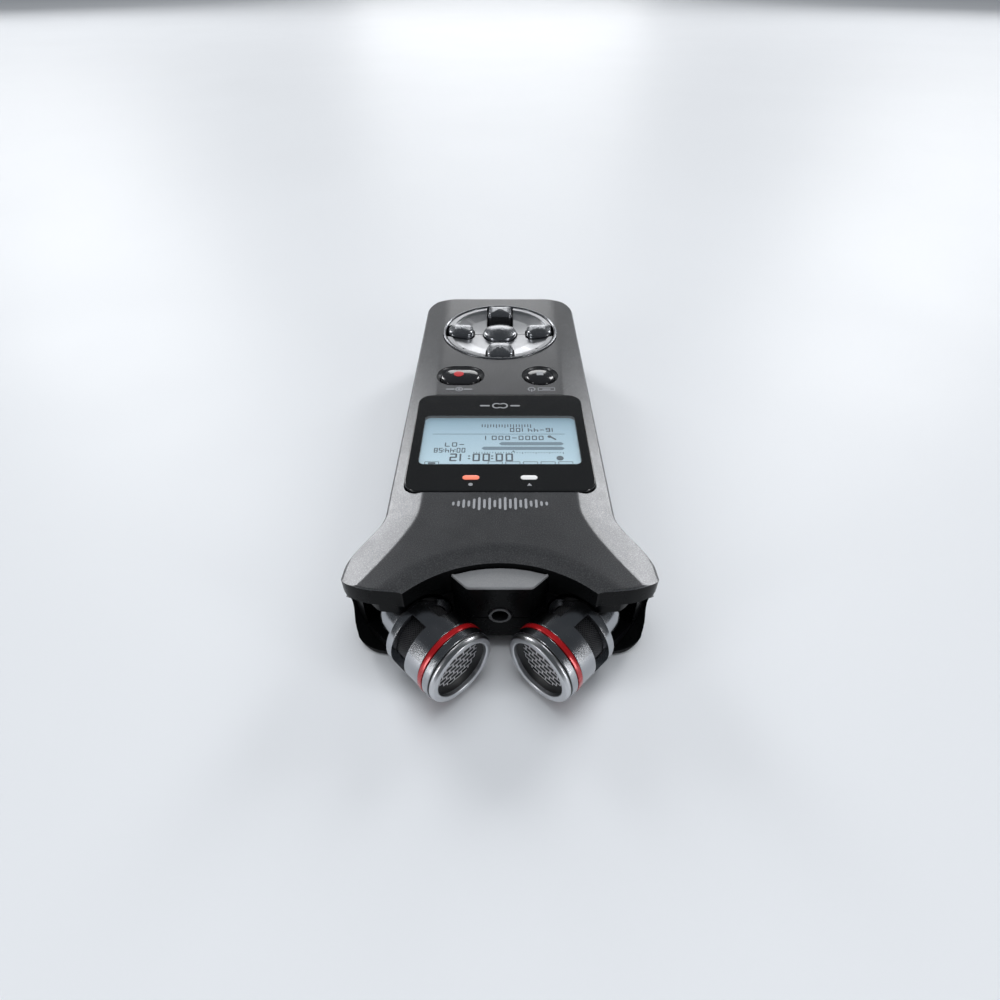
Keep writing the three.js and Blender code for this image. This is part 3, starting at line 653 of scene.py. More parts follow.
def make_front_case():
    outer = loft(stations(NOSE_Y, TAIL_Y), lambda y: front_section(y, 0, FRONT_TOP, FRONT_BOTTOM))
    for v in outer.verts:
        if v.co.y < -48 and v.co.z > 22.5:
            v.co.z -= scoop(v.co.x, v.co.y)
    obj = to_object("front_case_shell", outer)
    hollow = loft(stations(-50, TAIL_Y - WALL),
                  lambda y: front_section(y, WALL, FRONT_TOP - WALL, FRONT_BOTTOM - 1, across=2))
    panel = front_rect(PANEL, 0.16, 4.2, 10)
    record = centred_rect(RECORD_X, BUTTON_Y, 13, 9.3, 4.6, 16)
    power = circle(POWER_X, BUTTON_Y, 4.8, 56)
    return carve(obj, [
        shoulder_cutter(0, FRONT_BOTTOM, FRONT_TOP, round_top=0.35),
        hollow,
        solid(panel, [(15, 0), (23, 0), (27, -0.25)]),
        solid(record, [(15, 0), (23.6, 0), (24.35, -0.75), (24.8, -1), (26, -1.35)]),
        solid(power, [(15, 0), (23.6, 0), (24.35, -0.65), (24.8, -0.85), (26, -1.2)]),
        solid(circle(0, PAD_Y, PAD_R + 0.14, 120), [(15, 0), (24.75, 0), (26, -0.9)]),
        *[disc(side * PIVOT_X, PIVOT_Y, 1.9, 15, 22.6) for _, side in SIDES],
    ])


def make_mid_frame():
    def section(y):
        half = half_width(y) - 0.45
        return mirrored([(0.001, MID_BOTTOM), (half - 0.2, MID_BOTTOM), (half, MID_BOTTOM + 0.2),
                         (half, MID_TOP - 0.2), (half - 0.2, MID_TOP), (0.001, MID_TOP)])

    def opening(y):
        half = half_width(y) - 2.3
        return mirrored([(0.001, MID_BOTTOM - 1), (half, MID_BOTTOM - 1), (half, MID_TOP + 1),
                         (0.001, MID_TOP + 1)])

    obj = to_object("mid_frame_band", loft(stations(NOSE_Y, TAIL_Y - 0.45), section))
    return carve(obj, [
        shoulder_cutter(0.5, MID_BOTTOM, MID_TOP),
        loft(stations(-50, TAIL_Y - 2.3), opening),
        *[part for _, side in SIDES for part in mic_sweep(side)],
        *[disc(side * PIVOT_X, PIVOT_Y, 1.9, 15, 22) for _, side in SIDES],
    ])


def side_hole(y, width, height, r, x0, x1, z=SIDE_Z, count=6):
    return moved(prism(centred_rect(y, z, width, height, r, count), x0, x1), ALONG_X)


def make_rear_case():
    obj = to_object("rear_case_shell",
                    loft(stations(NOSE_Y, TAIL_Y), lambda y: belly_section(y, 0, REAR_TOP, 0, BELLY_R)))
    hollow = loft(stations(-50, TAIL_Y - WALL),
                  lambda y: belly_section(y, WALL, REAR_TOP + 1, WALL, BELLY_R - WALL))
    sound = [(0, 0), *circle(0, 0, 4, 6)]
    screws = [(side * SCREW_X, y) for _, side in SIDES for _, y in SCREW_ROWS]
    cutters = [
        shoulder_cutter(0, 0, REAR_TOP, round_top=0.3, round_bottom=0.5),
        hollow,
        *[part for _, side in SIDES for part in mic_sweep(side)],
        *[disc(side * PIVOT_X, PIVOT_Y, 8, MIC_Z - 5.9, REAR_TOP + 1, 64) for _, side in SIDES],
        cube(-15.6, 10.8, -1, 15.6, 90, 1.55),
        cube(-14.8, 10.9, -1, 14.8, 65, 3),
        disc(0, TRIPOD_Y, 5.12, -1, 3, 64),
        *[solid(circle(x, y, 2, 32), [(-1, -0.5), (0, -0.35), (0.35, 0), (0.95, 0)]) for x, y in screws],
        *[disc(x, SPEAKER_Y + y, 0.8, -1, 3, 20) for x, y in sound],
        moved(lathe([(0, -70), (2.85, -70), (2.85, -48), (0, -48)], 32),
              Matrix.Translation((0, 0, JACK_Z)) @ ALONG_Y),
        moved(disc(5, SIDE_Z, 3.3, -30, -24, 32), ALONG_X),
        side_hole(34, 6.3, 3.7, 1.6, -30, -24),
        side_hole(26, 6.3, 3.7, 1.6, -30, -24),
        side_hole(32, 11.5, 3.3, 1.2, 26.6, 30),
        side_hole(1, 18.5, 6.5, 0.7, 26.2, 30),
        side_hole(1, 15, 4, 0.5, 20, 30),
        side_hole(-22, 8.7, 3.7, 1, 20, 30),
    ]
    cutters += [groove(side, z) for side in (-1, 1) for z in (3, 4.6)]
    return carve(obj, cutters)


def groove(side, z):
    """A fine styling line along the flank of the rear case."""
    turn = math.asin(1 - (z + 0.01) / BELLY_R) if z < BELLY_R else 0
    reach = BELLY_R * (1 - math.cos(turn))
    rings = []
    for y in range(-54, 61, 2):
        x = half_width(y) - reach
        rings.append([(side * (x + 1), y, z - 0.16), (side * (x + 1), y, z + 0.16),
                      (side * (x - 0.22), y, z + 0.05), (side * (x - 0.22), y, z - 0.05)])
    return stack(rings)


front_shell = add("front_shell", make_front_case(), BODY, "graphite_paint", PAINT, "front_case", angle=24)
front_shell.data.materials.append(SATIN_BLACK)
for face in front_shell.data.polygons:
    if face.normal.z < 0.4:
        face.material_index = 1
add("middle_band", make_mid_frame(), BODY, "black_plastic", SATIN_BLACK, "mid_frame")
add("rear_shell", make_rear_case(), BODY, "black_plastic", SATIN_BLACK, "rear_case")


# ---- display

def lens_outline(side, spare=0):
    width = LENS["width"] + 2 * spare
    return centred_rect(side * LENS["x"], LENS["y"], LENS["length"] + 2 * spare, width, width / 2 - 0.02, 8)


def make_panel():
    obj = to_object("panel", plate(front_rect(PANEL, 0, 4.2, 10), PANEL["bottom"], PANEL["top"], 0.4))
    opening = front_rect(WINDOW, 0, 1.5, 6)
    return carve(obj, [well(opening, PANEL["top"], 0.12),
                       *[well(lens_outline(side, 0.05), PANEL["top"], 0.1) for side in (-1, 1)]])


# seven strokes of a digit, in a cell one wide and two high: x0, y0, x1, y1
STROKES = {
    "a": (0, 2, 1, 2), "b": (1, 1, 1, 2), "c": (1, 0, 1, 1), "d": (0, 0, 1, 0),
    "e": (0, 0, 0, 1), "f": (0, 1, 0, 2), "g": (0, 1, 1, 1),
}
DIGITS = {"0": "abcdef", "1": "bc", "2": "abdeg", "4": "bcfg", "5": "acdfg", "6": "acdefg", "7": "abc",
          "8": "abcdefg", "-": "g"}


def bar(x0, y0, x1, y1, thick):
    """A flat stroke between two places."""
    start, end = Vector((x0, y0)), Vector((x1, y1))
    along = (end - start).normalized()
    side = Vector((-along.y, along.x)) * thick / 2
    trim = along * thick * 0.5
    corners = [start - side, end - side, end + trim, end + side, start + side, start - trim]
    return mark([tuple(c) for c in corners])


def digits(text, u, v, width, height, thick):
    """Numbers in strokes from (u, v), read from the tail end, so u runs to -X and v to -Y."""
    parts = []
    for character in text:
        if character == ":":
            for share in (0.3, 0.7):
                parts.append(bar(-u + 0.1, -v - height * share, -u - 0.15, -v - height * share, thick))
            u += width * 0.55
            continue
        for stroke in DIGITS[character]:
            x0, y0, x1, y1 = STROKES[stroke]
            parts.append(bar(-(u + x0 * width), -(v + y0 * height / 2),
                             -(u + x1 * width), -(v + y1 * height / 2), thick))
        u += width * 1.75
    return merge(*parts)


def make_readout():
    """Counter, levels, scale and status symbols. Only numbers and plain symbols."""
    return merge(
        digits("00:00:12", -3.2, 17.2, 1.5, 2.7, 0.48),
        digits("-07", 9.8, 12.3, 1.1, 1.5, 0.3),
        digits("00:44:58", 9.4, 14.7, 0.75, 1.7, 0.26),
        digits("0000-0001", -11.8, 9.3, 1.05, 1.6, 0.3),
        digits("16-44100", -15.5, 5.7, 0.95, 1.5, 0.3),
        mark(circle(15.8, -18.9, 0.95, 28)),
        bar(-18.6, -8.35, 17.8, -8.35, 0.12),
        *[bar(16.8 - 0.72 * k, -16.45, 16.8 - 0.72 * k, -16.45 - (0.55 if k % 5 == 0 else 0.25), 0.2)
          for k in range(34)],
        mark([(3.2, -16.2), (4, -16.2), (3.6, -15.6)]),
        *[frame_bar(19 - 4.6 * k, -21.5, 3.7, 1.1) for k in range(5)],
        frame_bar(-16, -21.5, 3.6, 1.1),
        bar(-17, -20.95, -18.6, -20.95, 0.6),
        bar(13.9, -9.6, 15.2, -10.8, 0.55),
        mark(circle(13.6, -9.5, 0.55, 18)),
        *[bar(8.6 - 0.8 * k, -3.9, 8.6 - 0.8 * k, -5 - 0.35 * (k % 3 == 0), 0.3) for k in range(18)],
    )


def frame_bar(x, y, width, height, thick=0.16):
    outer = [(x, y), (x - width, y), (x - width, y + height), (x, y + height)]
    return merge(*[bar(*outer[k], *outer[(k + 1) % 4], thick) for k in range(4)])


add("panel_bezel", make_panel(), BODY, "gloss_black", SMOKE, "display_panel")
glass = plate(front_rect(WINDOW, -0.02, 1.5, 6), 24.75, PANEL["top"] - 0.05, 0.05)
add("display_cover", glass, BODY, "clear_window", CLEAR, "display_glass")
SHEET_TOP = 24.3
add("crystal_sheet", plate(rounded_rect(-22, -23.4, 22, 0.4, 0.6), 20.2, SHEET_TOP, 0.1), BODY,
    "display", DISPLAY, "display_module")
add("readout", shifted(make_readout(), 0, 0, SHEET_TOP), BODY, "display", SEGMENT)
levels = merge(bar(16.7, -14.7, -4.3, -14.7, 1.35), bar(16.6, -12.7, 0.4, -12.7, 1.35))
add("level_bars", shifted(levels, 0, 0, SHEET_TOP), BODY, "display", PALE_SEGMENT)
lamps = (("record_lamp", -1, "coral_lens", CORAL), ("peak_lamp", 1, "white_lens", WHITE))
for name, side, slot, material in lamps:
    add(name, crowned(lens_outline(side), 22.9, PANEL["top"] + 0.05, 0.12, 0.15), BODY, slot, material,
        f"{name}_lens")


# ---- buttons and control pad

def thin(outline):
    return prism(outline, 0, 0.03)


record_outline = centred_rect(RECORD_X, BUTTON_Y, 12.4, 8.7, 4.2, 14)
record_cap = add("record_cap", crowned(record_outline, KEY_BOTTOM, 25, 0.55, 0.9), "record_button",
                 "gloss_black", GLOSS, "record_button")
add("record_dot", drape(thin(circle(-12.9, 21.5, 1.55, 32)), record_cap),
    "record_button", "red_ring", RED_PRINT)
power_cap = add("power_cap", crowned(circle(POWER_X, BUTTON_Y, 4.5, 56), KEY_BOTTOM, 25, 0.6, 0.9),
                "power_button", "gloss_black", GLOSS, "power_button")
add("power_square", drape(thin(centred_rect(POWER_X, 21.6, 2.1, 2.1, 0.2, 3)), power_cap),
    "power_button", "satin_silver", PRINT)


def at_pad(bm):
    return shifted(bm, 0, PAD_Y)


ring = soft_profile([(PAD_R - 1, 21.2), (PAD_R, 21.2), (PAD_R, 25.08), (PAD_R - 0.25, 25.3),
                     (PAD_R - 0.6, 25.3), (PAD_R - 1, 24.9)], 0.1, closed=True)
add("pad_lip", at_pad(lathe(ring, 144, closed=True)), BODY, "satin_silver", KEY_CHROME, "pad_ring")

key_outlines = {
    "minus_button": rounded_rect(-4.3, 11, 4.3, 18.4, 1.3, 8),
    "plus_button": fillet([(-4.35, -18.4), (4.35, -18.4), (4.35, -11.8), (2.6, -9.2), (-2.6, -9.2),
                           (-4.35, -11.8)], 1.6, 6),
    "previous_button": rounded_rect(-18, -3.9, -9.4, 3.9, 2.6, 8),
    "next_button": rounded_rect(9.4, -3.9, 18, 3.9, 2.6, 8),
}
pad_keys = {}
for name, outline in key_outlines.items():
    cap = at_pad(crowned(outline, KEY_BOTTOM, 25.75, 0.5, 1))
    pad_keys[name] = add(f"{name}_cap", cap, name, "dark_chrome", KEY_CHROME, name)
play_cap = add("play_cap", at_pad(crowned(circle(0, 0, 5.75, 64), KEY_BOTTOM, 24.9, 0.9, 0.8)), "play_button",
               "dark_chrome", KEY_CHROME, "play_button")


def mark_on(name, bm, target, body):
    add(name, drape(at_pad(bm), target, 0.01), body, "satin_silver", PRINT)


mark_on("play_mark", thin([(1.1, 1), (-1, 0), (1.1, -1)]), play_cap, "play_button")
mark_on("plus_mark", merge(bar(-0.9, -13.6, 0.9, -13.6, 0.4), bar(0, -14.5, 0, -12.7, 0.4)),
        pad_keys["plus_button"], "plus_button")
mark_on("minus_mark", bar(-0.9, 14.7, 0.9, 14.7, 0.4), pad_keys["minus_button"], "minus_button")
for name, way in (("previous_button", -1), ("next_button", 1)):
    x = way * 13.7
    skip = merge(thin([(x, 0.9), (x + way * 1.5, 0), (x, -0.9)][::way]),
                 thin([(x - way * 1.5, 0.9), (x, 0), (x - way * 1.5, -0.9)][::way]),
                 bar(x + way * 1.8, -0.9, x + way * 1.8, 0.9, 0.35))
    mark_on(f"{name}_mark", skip, pad_keys[name], name)


def make_plate_key(side_x, side_y):
    """A quarter of the dished plate, with its raised rim and a small dimple."""
    profile = soft_profile([(0, 20.5), (18.7, 20.5), (18.7, 24.95), (17.1, 24.95), (16.7, 24.4),
                            (12, 23.75), (0, 23.1)], 0.12)
    obj = to_object("plate_quarter", lathe(profile, 144))
    corners = [(0.17, 0.17), (22, 0.17), (22, 22), (0.17, 22)]
    quarter = [(x * side_x, y * side_y) for x, y in corners]
    carve(obj, [prism(quarter, 15, 30)], "INTERSECT")
    slots = [
        rounded_rect(-4.7, 5, 4.7, 19.4, 1.4, 6),
        fillet([(-4.75, -19.4), (4.75, -19.4), (4.75, -11.6), (3, -7.6), (-3, -7.6),
                (-4.75, -11.6)], 1.6, 6),
        rounded_rect(-19.4, -4.3, -8.9, 4.3, 2.9, 8),
        rounded_rect(8.9, -4.3, 19.4, 4.3, 2.9, 8),
        circle(0, 0, 6.15, 56),
    ]
    dimple = circle(12 * side_x * 1.02, (10.6 if side_y > 0 else -12.6) * 1.02, 0.38, 20)
    holes = [solid(slot, [(15, 0), (22.8, 0), (30, -0.5)]) for slot in slots]
    carve(obj, [*holes, prism(dimple, 24.3, 30)])
    obj.location = (0, PAD_Y * MM, 0)
    return place_mesh(obj)


def place_mesh(obj):
    """Moves the mesh by the object's own transform, which goes back to nothing."""
    bpy.context.view_layer.update()
    obj.data.transform(obj.matrix_world)
    obj.matrix_world = Matrix.Identity(4)
    return obj


plate_keys = (("menu_key", -1, 1), ("speed_key", 1, 1), ("mark_key", -1, -1), ("mixer_key", 1, -1))
for name, side_x, side_y in plate_keys:
    add(f"{name}_plate", make_plate_key(side_x, side_y), name, "satin_silver", BRUSHED, name)


# ---- input jack between the microphones

def jack_outline():
    """The block between the microphones, seen from above; its back follows the recess."""
    corners = [(-10.5, -57.1), (-7, -60.6), (7, -60.6), (10.5, -57.1)]
    nose = fillet(corners, 0.6, 4)[5:-5]
    back = [(x, RECESS_TOP_Y - RECESS_R - 0.15 + math.sqrt(RECESS_R ** 2 - x * x))
            for x in (9.6, 6.4, 3.2, 0, -3.2, -6.4, -9.6)]
    return [corners[0], *nose, corners[-1], *back]


def make_jack_block():
    levels = [(4.6, 0.3), (4.9, 0.1), (5.1, 0), (12.05, 0), (12.12, 0.14), (12.28, 0.14), (12.35, 0),
              (22.3, 0)]
    bore = lathe([(0, -62), (2.78, -62), (2.78, -50), (0, -50)], 48)
    obj = to_object("block", solid(jack_outline(), levels))
    return carve(obj, [moved(bore, Matrix.Translation((0, 0, JACK_Z)) @ ALONG_Y)])


def socket(r, bore, length):
    """A jack socket along local Z: a collar with a rounded lip, a bore and a contact ring inside."""
    body = soft_profile([(bore, 0), (r, 0), (r, length), (bore, length)], 0.25, closed=True)
    floor = [(0, length - 1.5), (bore + 0.05, length - 1.5), (bore + 0.05, length - 0.5), (0, length - 0.5)]
    contact = [(bore + 0.02, 3), (bore + 0.02, 3.6), (bore - 0.15, 3.5), (bore - 0.15, 3.1)]
    return merge(lathe(body, 56, closed=True), lathe(floor, 56), lathe(contact, 56, closed=True))


add("jack_housing", make_jack_block(), BODY, "black_plastic", SATIN_BLACK, "jack_block")
# The cap is the top of the black block, painted a lighter grey as a highlight from above.
jack_cap = solid(jack_outline(), [(22.3, 0), (22.65, 0), (22.88, 0.07), (22.98, 0.2), (23, 0.35)])
add("jack_cap", jack_cap, BODY, "black_plastic", LIT_TOP_GREY)
add("input_socket", moved(socket(2.65, 1.8, 13), Matrix.Translation((0, -60.9, JACK_Z)) @ ALONG_Y), BODY,
    "gloss_black", GLOSS, "input_jack")
add("phones_socket", moved(socket(3.2, 1.8, 13),
                           Matrix.Translation((-27.4, 5, SIDE_Z)) @ Matrix.Rotation(math.pi / 2, 4, "Y")),
    BODY, "gloss_black", GLOSS, "phones_jack")


# ---- sides

def side_cap(y, width, height, r, length, side):
    """A key in the flank, domed outwards."""
    cap = crowned(centred_rect(y, 0, width, height, r, 8), 0, length, 0.15, 0.35)
    turn = ALONG_X if side > 0 else Matrix.Diagonal((-1, 1, 1, 1)) @ ALONG_X
    return moved(cap, Matrix.Translation((side * 25, 0, SIDE_Z)) @ turn)


for name, y in (("volume_up_button", 34), ("volume_down_button", 26)):
    add(f"{name}_cap", side_cap(y, 5.8, 3.2, 1.5, 3.1, -1), name, "black_plastic", SATIN_BLACK, name)


def make_hold_switch():
    obj = to_object("hold", side_cap(34, 6.5, 2.6, 0.7, 3.1, 1))
    ridges = [moved(cube(-0.18, -1, 0, 0.18, 1, 1.2),
                    Matrix.Translation((28.05, 34 + 0.9 * k, SIDE_Z)) @ ALONG_X) for k in (-2, -1, 0, 1, 2)]
    return carve(obj, ridges)


add("hold_slider", make_hold_switch(), "hold_switch", "black_plastic", SATIN_BLACK, "hold_switch")


def make_card_cover():
    outline = rounded_rect(-8, 8.6, 10, 14.6, 0.6, 5)
    obj = to_object("flap", moved(plate(outline, 26.42, 27.5, 0.18), ALONG_X))
    return carve(obj, [side_hole(1, 5, 1, 0.45, 27.1, 30, 14.3, 5)])


add("card_flap", make_card_cover(), "card_cover", "dark_rubber", RUBBER, "card_cover")
for node in ("usb_socket", "card_socket"):
    add(f"{node}_shell", refined(node, 0.1), BODY, "steel", STEEL, node)


# ---- back

def make_door():
    side = [(11, 0), (72.6, 0), (74.4, 0.45), (75.6, 1.3), (11, 1.3)]
    obj = bevelled(to_object("door", moved(prism(side, -15.4, 15.4), ALONG_X)), 0.2, 30)
    arrow = prism([(-2.4, 24), (2.4, 24), (0, 27.2)], -1, 0.25)
    grips = [prism(centred_rect(0, 15.5 + 1.5 * k, 13 - k, 0.7, 0.34, 5), -1, 0.35) for k in range(5)]
    return carve(obj, [arrow, *grips])


add("battery_cover", make_door(), "battery_door", "black_plastic", BLACK, "battery_door")


def make_insert():
    """Brass bush with the crests of its thread."""
    profile = [(0, 6.2), (3.2, 6.2), (3.2, 0.3), (3.45, 0.02), (4.8, 0.02), (5, 0.2), (5, 7), (0, 7)]
    crests = [[(3.22, z), (3.22, z + 0.7), (2.85, z + 0.35)] for z in (0.6, 1.87, 3.14, 4.41)]
    return merge(lathe(profile, 72), *[lathe(crest, 72, closed=True) for crest in crests])


add("tripod_bush", shifted(make_insert(), 0, TRIPOD_Y), BODY, "brass", BRASS, "tripod_insert")


def make_screw(x, y):
    profile = [(0, 0.12), (1.2, 0.12), (1.65, 0.22), (1.8, 0.45), (1.8, 0.65), (0.95, 0.65),
               (0.95, 11.5), (0, 12)]
    obj = to_object("screw", shifted(lathe(profile, 40), x, y))
    return carve(obj, [cube(x - across, y - along, -1, x + across, y + along, 0.42)
                       for across, along in ((0.95, 0.22), (0.22, 0.95))])


for end, y in SCREW_ROWS:
    for hand, side in SIDES:
        node = f"case_screw_{end}_{hand}"
        add(f"{node}_head", make_screw(side * SCREW_X, y), BODY, "steel", STEEL, node)


def make_speaker():
    cone = [(0, 2.5), (2.2, 2.35), (2.6, 3.1), (6.4, 2.4), (7.4, 2.2), (8.5, 2.2), (8.5, 3.2), (5, 3.6),
            (5, 6), (0, 6)]
    return shifted(lathe(cone, 64), 0, SPEAKER_Y)


add("speaker_cone", make_speaker(), BODY, "black_plastic", BLACK, "speaker")


# ---- microphones

def mic_place(side):
    """Local +Z runs out along the capsule; local -Y is up."""
    turn = Matrix.Rotation(math.radians(side * 135), 4, "Z")
    return Matrix.Translation((side * PIVOT_X, PIVOT_Y, MIC_Z)) @ turn @ ALONG_Y


def make_barrel(side):
    tube = [(0, 6.15), (6.2, 6.15), (7.9, 6.3), (8.4, 6.65), (8.6, 7.1), (8.6, 17.2), (8.45, 17.32),
            (8.25, 17.35), (8.25, 18.75), (8.45, 18.78), (8.6, 18.9), (8.6, 20.35), (8.5, 20.5),
            (6.95, 20.5), (6.95, 7.4), (0, 7.4)]
    obj = to_object("tube", lathe(tube, 144))
    cutters = []
    for k in range(3):
        start = 270 + 12 + 120 * k
        cutters.append(prism(sector(0, 0, 5, 12, start, start + 96, 30), 8.6, 13.1))
    return at_mic(bevelled(carve(obj, cutters), 0.16, 50), side)


def at_mic(obj, side):
    """Moves an object made at the origin, already in metres, to its microphone."""
    place = mic_place(side)
    place.translation = place.translation * MM
    obj.matrix_world = place
    return place_mesh(obj)


def tube_grid(r, z0, z1, around, along):
    """A diagonal lattice on a cylinder, as cells to be turned into wires."""
    bm = bmesh.new()
    rows = []
    for j in range(along + 1):
        z = z0 + (z1 - z0) * j / along
        turns = [2 * math.pi * (k + j % 2 / 2) / around for k in range(around)]
        rows.append([bm.verts.new((r * math.cos(t), r * math.sin(t), z)) for t in turns])
    for j in range(along - 1):
        for k in range(around):
            right = rows[j + 1][(k + j % 2) % around]
            left = rows[j + 1][(k + j % 2 - 1) % around]
            bm.faces.new((rows[j][k], right, rows[j + 2][k], left))
    return bm


def wires(name, bm, thickness):
    obj = to_object(name, bm)
    wire = obj.modifiers.new("wire", "WIREFRAME")
    wire.thickness = thickness * MM
    wire.use_even_offset = True
    wire.use_boundary = True
    apply_modifiers(obj)
    return obj


def make_lattice():
    """The perforated front sheet: staggered rows of oblong holes inside a round field."""
    bm = bmesh.new()
    width, height, field = 2, 1.3, 5.6
    for row in range(-8, 9):
        for column in range(-7, 8):
            left = column * width + (width / 2 if row % 2 else 0)
            middle, right, low = left + width / 2, left + width, row * height
            if math.hypot(middle, low + height / 2) > field:
                continue
            cell = [(left, low), (middle, low), (right, low)]
            cell += [(x, low + height) for x in (right, middle, left)]
            bm.faces.new([bm.verts.new((x, y, 0)) for x, y in cell])
    bmesh.ops.remove_doubles(bm, verts=bm.verts, dist=0.001)
    return bm


def make_microphone(hand, side):
    body = f"mic_{hand}"
    place = mic_place(side)

    def ring(points, r):
        return moved(lathe(soft_profile(points, r, closed=True), 144, closed=True), place)

    add(f"{body}_tube", make_barrel(side), body, "dark_chrome", CHROME, f"mic_barrel_{hand}", angle=30)

    rim = [(6.75, 20.75), (8.35, 20.75), (8.4, 21.3), (8.1, 22.1), (7, 22.1), (6.75, 21.9)]
    add(f"{body}_rim_ring", ring(rim, 0.2), body, "satin_silver", SATIN, f"mic_rim_{hand}")
    # The collar is painted shade: near-black in place of dark chrome.
    collar = [(6.9, 20.4), (8.42, 20.4), (8.3, 20.85), (6.9, 20.85)]
    add(f"{body}_collar", moved(lathe(collar, 144, closed=True), place), body, "dark_chrome", SHADE)

    band = [(8.2, 17.45), (8.68, 17.45), (8.68, 18.65), (8.2, 18.65)]
    add(f"{body}_red_band", ring(band, 0.12), body, "red_ring", RED, f"mic_red_ring_{hand}")

    # The grille cup is painted shade: near-black where the recess falls into shadow.
    cup = [(6.95, 21.5), (6.9, 19.6), (5.5, 19.6), (5.5, 19.9), (5.8, 20.1), (6.5, 20.6), (6.9, 21.4),
           (6.82, 21.6)]
    add(f"{body}_cup", moved(lathe(cup, 120, closed=True), place), body, "black_mesh", SHADE)
    field = wires("field", make_lattice(), 0.36)
    for vertex in field.data.vertices:
        vertex.co.z = 20 * MM + vertex.co.z * 0.3
    add(f"{body}_lattice", at_mic(field, side), body, "black_mesh", LATTICE, f"mic_grille_{hand}", angle=40)
    # The sheet behind the grille is painted shade, so the holes read dark.
    backing = lathe([(0, 19), (6.8, 19), (6.8, 19.35), (0, 19.35)], 64)
    add(f"{body}_backing", moved(backing, place), body, "black_mesh", SHADE)

    sleeve = wires("sleeve", tube_grid(6.55, 7.9, 14.4, 66, 22), 0.16)
    add(f"{body}_sleeve", at_mic(sleeve, side), body, "black_mesh", WIRE, f"mic_mesh_{hand}", angle=60)
    # The capsule element is painted shade: near-black in place of steel, as it sits in the barrel's shadow.
    capsule = soft_profile([(0, 7.8), (5.8, 7.8), (5.8, 10.4), (5.5, 10.6), (5.5, 11.6), (5.8, 11.8),
                            (5.8, 18), (0, 18)], 0.15)
    add(f"{body}_element", moved(lathe(capsule, 64), place), body, "steel", SHADE, f"mic_capsule_{hand}")

    profile = [(0, -3), (1.4, -2.92), (2.7, -2.55), (3.9, -1.7), (4.7, -0.5), (5.15, 1), (5.3, 2.6),
               (5.4, 4.2), (5.4, 5.3), (5.2, 5.75), (0, 5.8)]
    neck = to_object("neck", moved(lathe(profile, 96), place))
    carve(neck, [disc(side * PIVOT_X, PIVOT_Y, 1.75, 0, 22, 40)])
    add(f"{body}_arm", neck, body, "satin_silver", CHROME, f"mic_neck_{hand}")

    pin = [(0, 1.6), (1.4, 1.6), (1.6, 1.8), (1.6, 22), (1.4, 22.2), (0, 22.2)]
    add(f"{body}_pin_turned", shifted(lathe(pin, 40), side * PIVOT_X, PIVOT_Y), BODY, "steel", STEEL,
        f"mic_pin_{hand}")


for hand, side in SIDES:
    make_microphone(hand, side)


# ---- inside

inside = {
    "display_holder": BLACK, "key_mat": RUBBER, "main_board": BOARD, "battery_left": CELL,
    "battery_right": CELL, "battery_contact_front": STEEL, "battery_contact_rear": STEEL,
}
for node, material in inside.items():
    slot = next(p["material_slot"] for p in frame["record"]["subparts"] if p["node"] == node)
    add(f"{node}_piece", refined(node, 0.12), BODY, slot, material, node)


# ---- printed marks

def flat_mark(name, parts, z):
    add(name, shifted(merge(*parts), 0, 0, z), BODY, "satin_silver", PRINT)


FACE = FRONT_TOP + 0.012
wave = [0.8, 1.5, 2.4, 1.6, 3, 4, 2.6, 3.6, 2, 3.2, 4, 2.8, 3.6, 2.2, 3, 1.6, 2.4, 1.2, 0.8]
flat_mark("wave_mark", [bar(-11.16 + 1.24 * k, -37 - h / 2, -11.16 + 1.24 * k, -37 + h / 2, 0.62)
                        for k, h in enumerate(wave)], FACE)


def ring_mark(x, y, r, thick):
    near, far = r - thick / 2, r + thick / 2
    band = [(near, 0), (far, 0), (far, MARK_HEIGHT), (near, MARK_HEIGHT)]
    return shifted(lathe(band, 40, closed=True), x, y)


def arc_mark(x, y, r, thick, a0, a1):
    return mark(sector(x, y, r - thick / 2, r + thick / 2, a0, a1))


flat_mark("record_mark", [ring_mark(RECORD_X, 13.4, 1, 0.36), bar(-16.2, 13.4, -14, 13.4, 0.6),
                          bar(-10.8, 13.4, -8.6, 13.4, 0.6), mark(circle(RECORD_X, 13.4, 0.45, 16))],
          FACE)
flat_mark("power_mark", [arc_mark(9.6, 13.4, 1, 0.36, -60, 240), bar(9.6, 13.2, 9.6, 12.1, 0.38),
                         frame_bar(16.6, 12.6, 5, 1.6, 0.25), bar(15.2, 13.4, 13, 13.4, 0.55)], FACE)
PANEL_FACE = PANEL["top"] + 0.005
flat_mark("stereo_mark", [arc_mark(-0.95, 4.2, 1.15, 0.42, 42, 318),
                          arc_mark(0.95, 4.2, 1.15, 0.42, -138, 138),
                          bar(-5.6, 4.2, -3.2, 4.2, 0.6), bar(3.2, 4.2, 5.6, 4.2, 0.6)], PANEL_FACE)
flat_mark("record_lamp_mark", [mark(circle(-7.3, -30.3, 0.55, 20))], PANEL_FACE)
flat_mark("peak_lamp_mark", [mark([(6.7, -30.8), (7.9, -30.8), (7.3, -29.8)])], PANEL_FACE)


# ---- floor, light and camera

def make_floor():
    mesh = bpy.data.meshes.new("floor")
    size = 6
    corners = [(-size, -size, 0), (size, -size, 0), (size, size, 0), (-size, size, 0)]
    mesh.from_pydata(corners, [], [(0, 1, 2, 3)])
    floor = linked("floor", mesh)
    floor.location.z = -0.0004
    paint = surface("floor_paint", (0.8, 0.82, 0.85), 0.5, vary=0.01, patch=4, grain=400, depth=0.01)
    mesh.materials.append(paint)


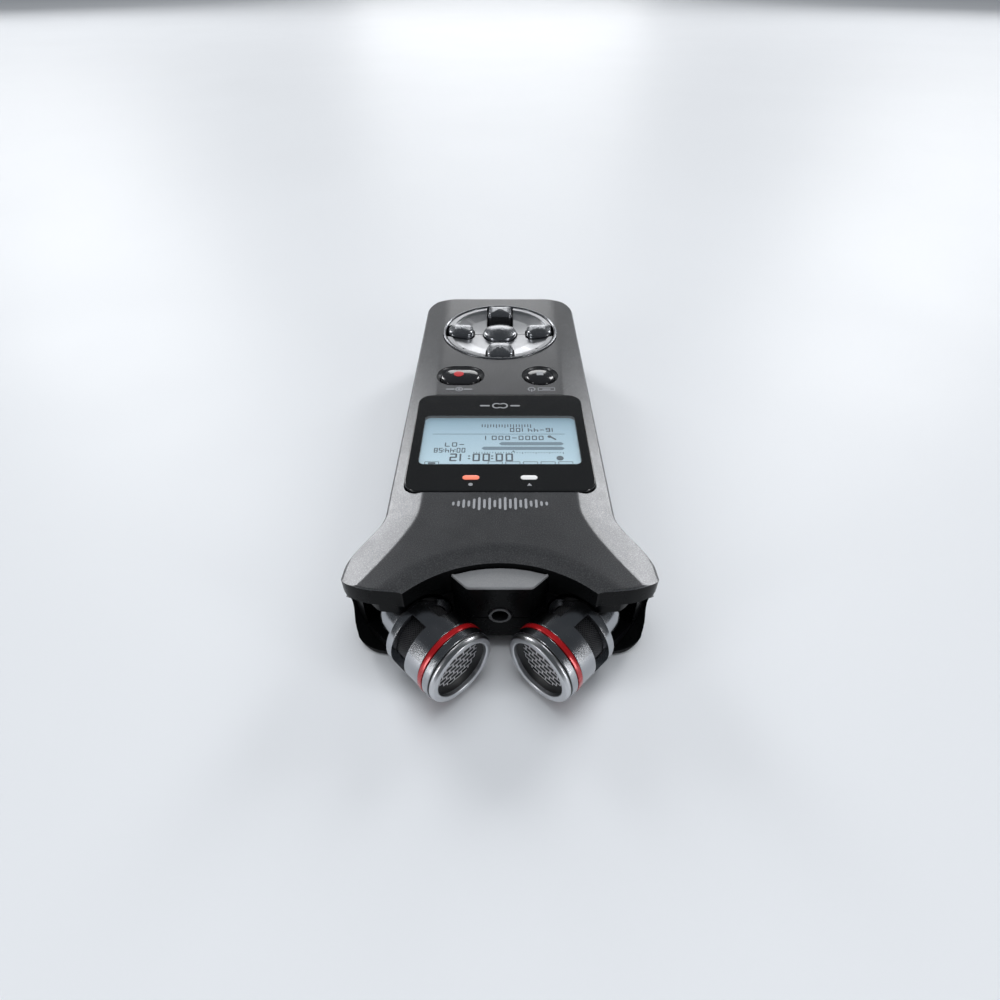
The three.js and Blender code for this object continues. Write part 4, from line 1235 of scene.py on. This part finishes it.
def area_light(name, place, target, width, height, power, colour=(1, 1, 1)):
    data = bpy.data.lights.new(name, "AREA")
    data.shape = "RECTANGLE"
    data.size, data.size_y = width, height
    data.energy = power
    data.color = colour
    light = linked(name, data)
    light.location = place
    light.visible_camera = False
    light.rotation_euler = (Vector(target) - Vector(place)).to_track_quat("-Z", "Y").to_euler()
    return light


def make_world():
    world = bpy.data.worlds.new("studio")
    bpy.context.scene.world = world
    world.use_nodes = True
    tree = world.node_tree
    dim = tree.nodes["Background"]
    set_inputs(dim, Color=(0.8, 0.87, 0.95, 1), Strength=0.09)
    pale = make_node(tree, "Background", Color=(0.74, 0.79, 0.85, 1))
    path = make_node(tree, "LightPath")
    mix = make_node(tree, "MixShader")
    tree.links.new(path.outputs["Is Camera Ray"], mix.inputs["Fac"])
    tree.links.new(dim.outputs["Background"], mix.inputs[1])
    tree.links.new(pale.outputs["Background"], mix.inputs[2])
    tree.links.new(mix.outputs["Shader"], tree.nodes["World Output"].inputs["Surface"])


def make_sun():
    """Even light from straight above for the floor; the glossy pieces don't mirror it."""
    data = bpy.data.lights.new("ceiling", "SUN")
    data.energy = 0.8
    data.angle = math.radians(60)
    data.color = (0.94, 0.97, 1)
    linked("ceiling", data).visible_glossy = False


def make_camera():
    data = bpy.data.cameras.new("camera")
    data.sensor_width = 36
    data.lens = 20.52
    camera = linked("camera", data)
    camera.location = (0, -0.1357, 0.1189)
    camera.rotation_euler = (math.radians(46.8), 0, 0)
    data.clip_start = 0.005
    bpy.context.scene.camera = camera


make_floor()
make_world()
make_sun()
overhead = area_light("overhead", (0, 0.1, 1.9), (0, 0, 0), 1.2, 1.2, 12, (0.97, 0.985, 1))
overhead.visible_glossy = False
area_light("tail", (0, 3.6, 0.95), (0, 0.06, 0.02), 1.5, 1.45, 15)
for side in (-1, 1):
    area_light(f"flank_{side}", (1.5 * side, 1.98, 1.37), (0, -0.02, 0.02), 0.75, 1.05, 20.6)
    area_light(f"front_{side}", (0.6 * side, -0.35, 0.2), (0, -0.06, 0.01), 0.1, 0.4, 1)
make_camera()
bpy.context.scene.view_settings.view_transform = "Standard"

bpy.context.view_layer.update()
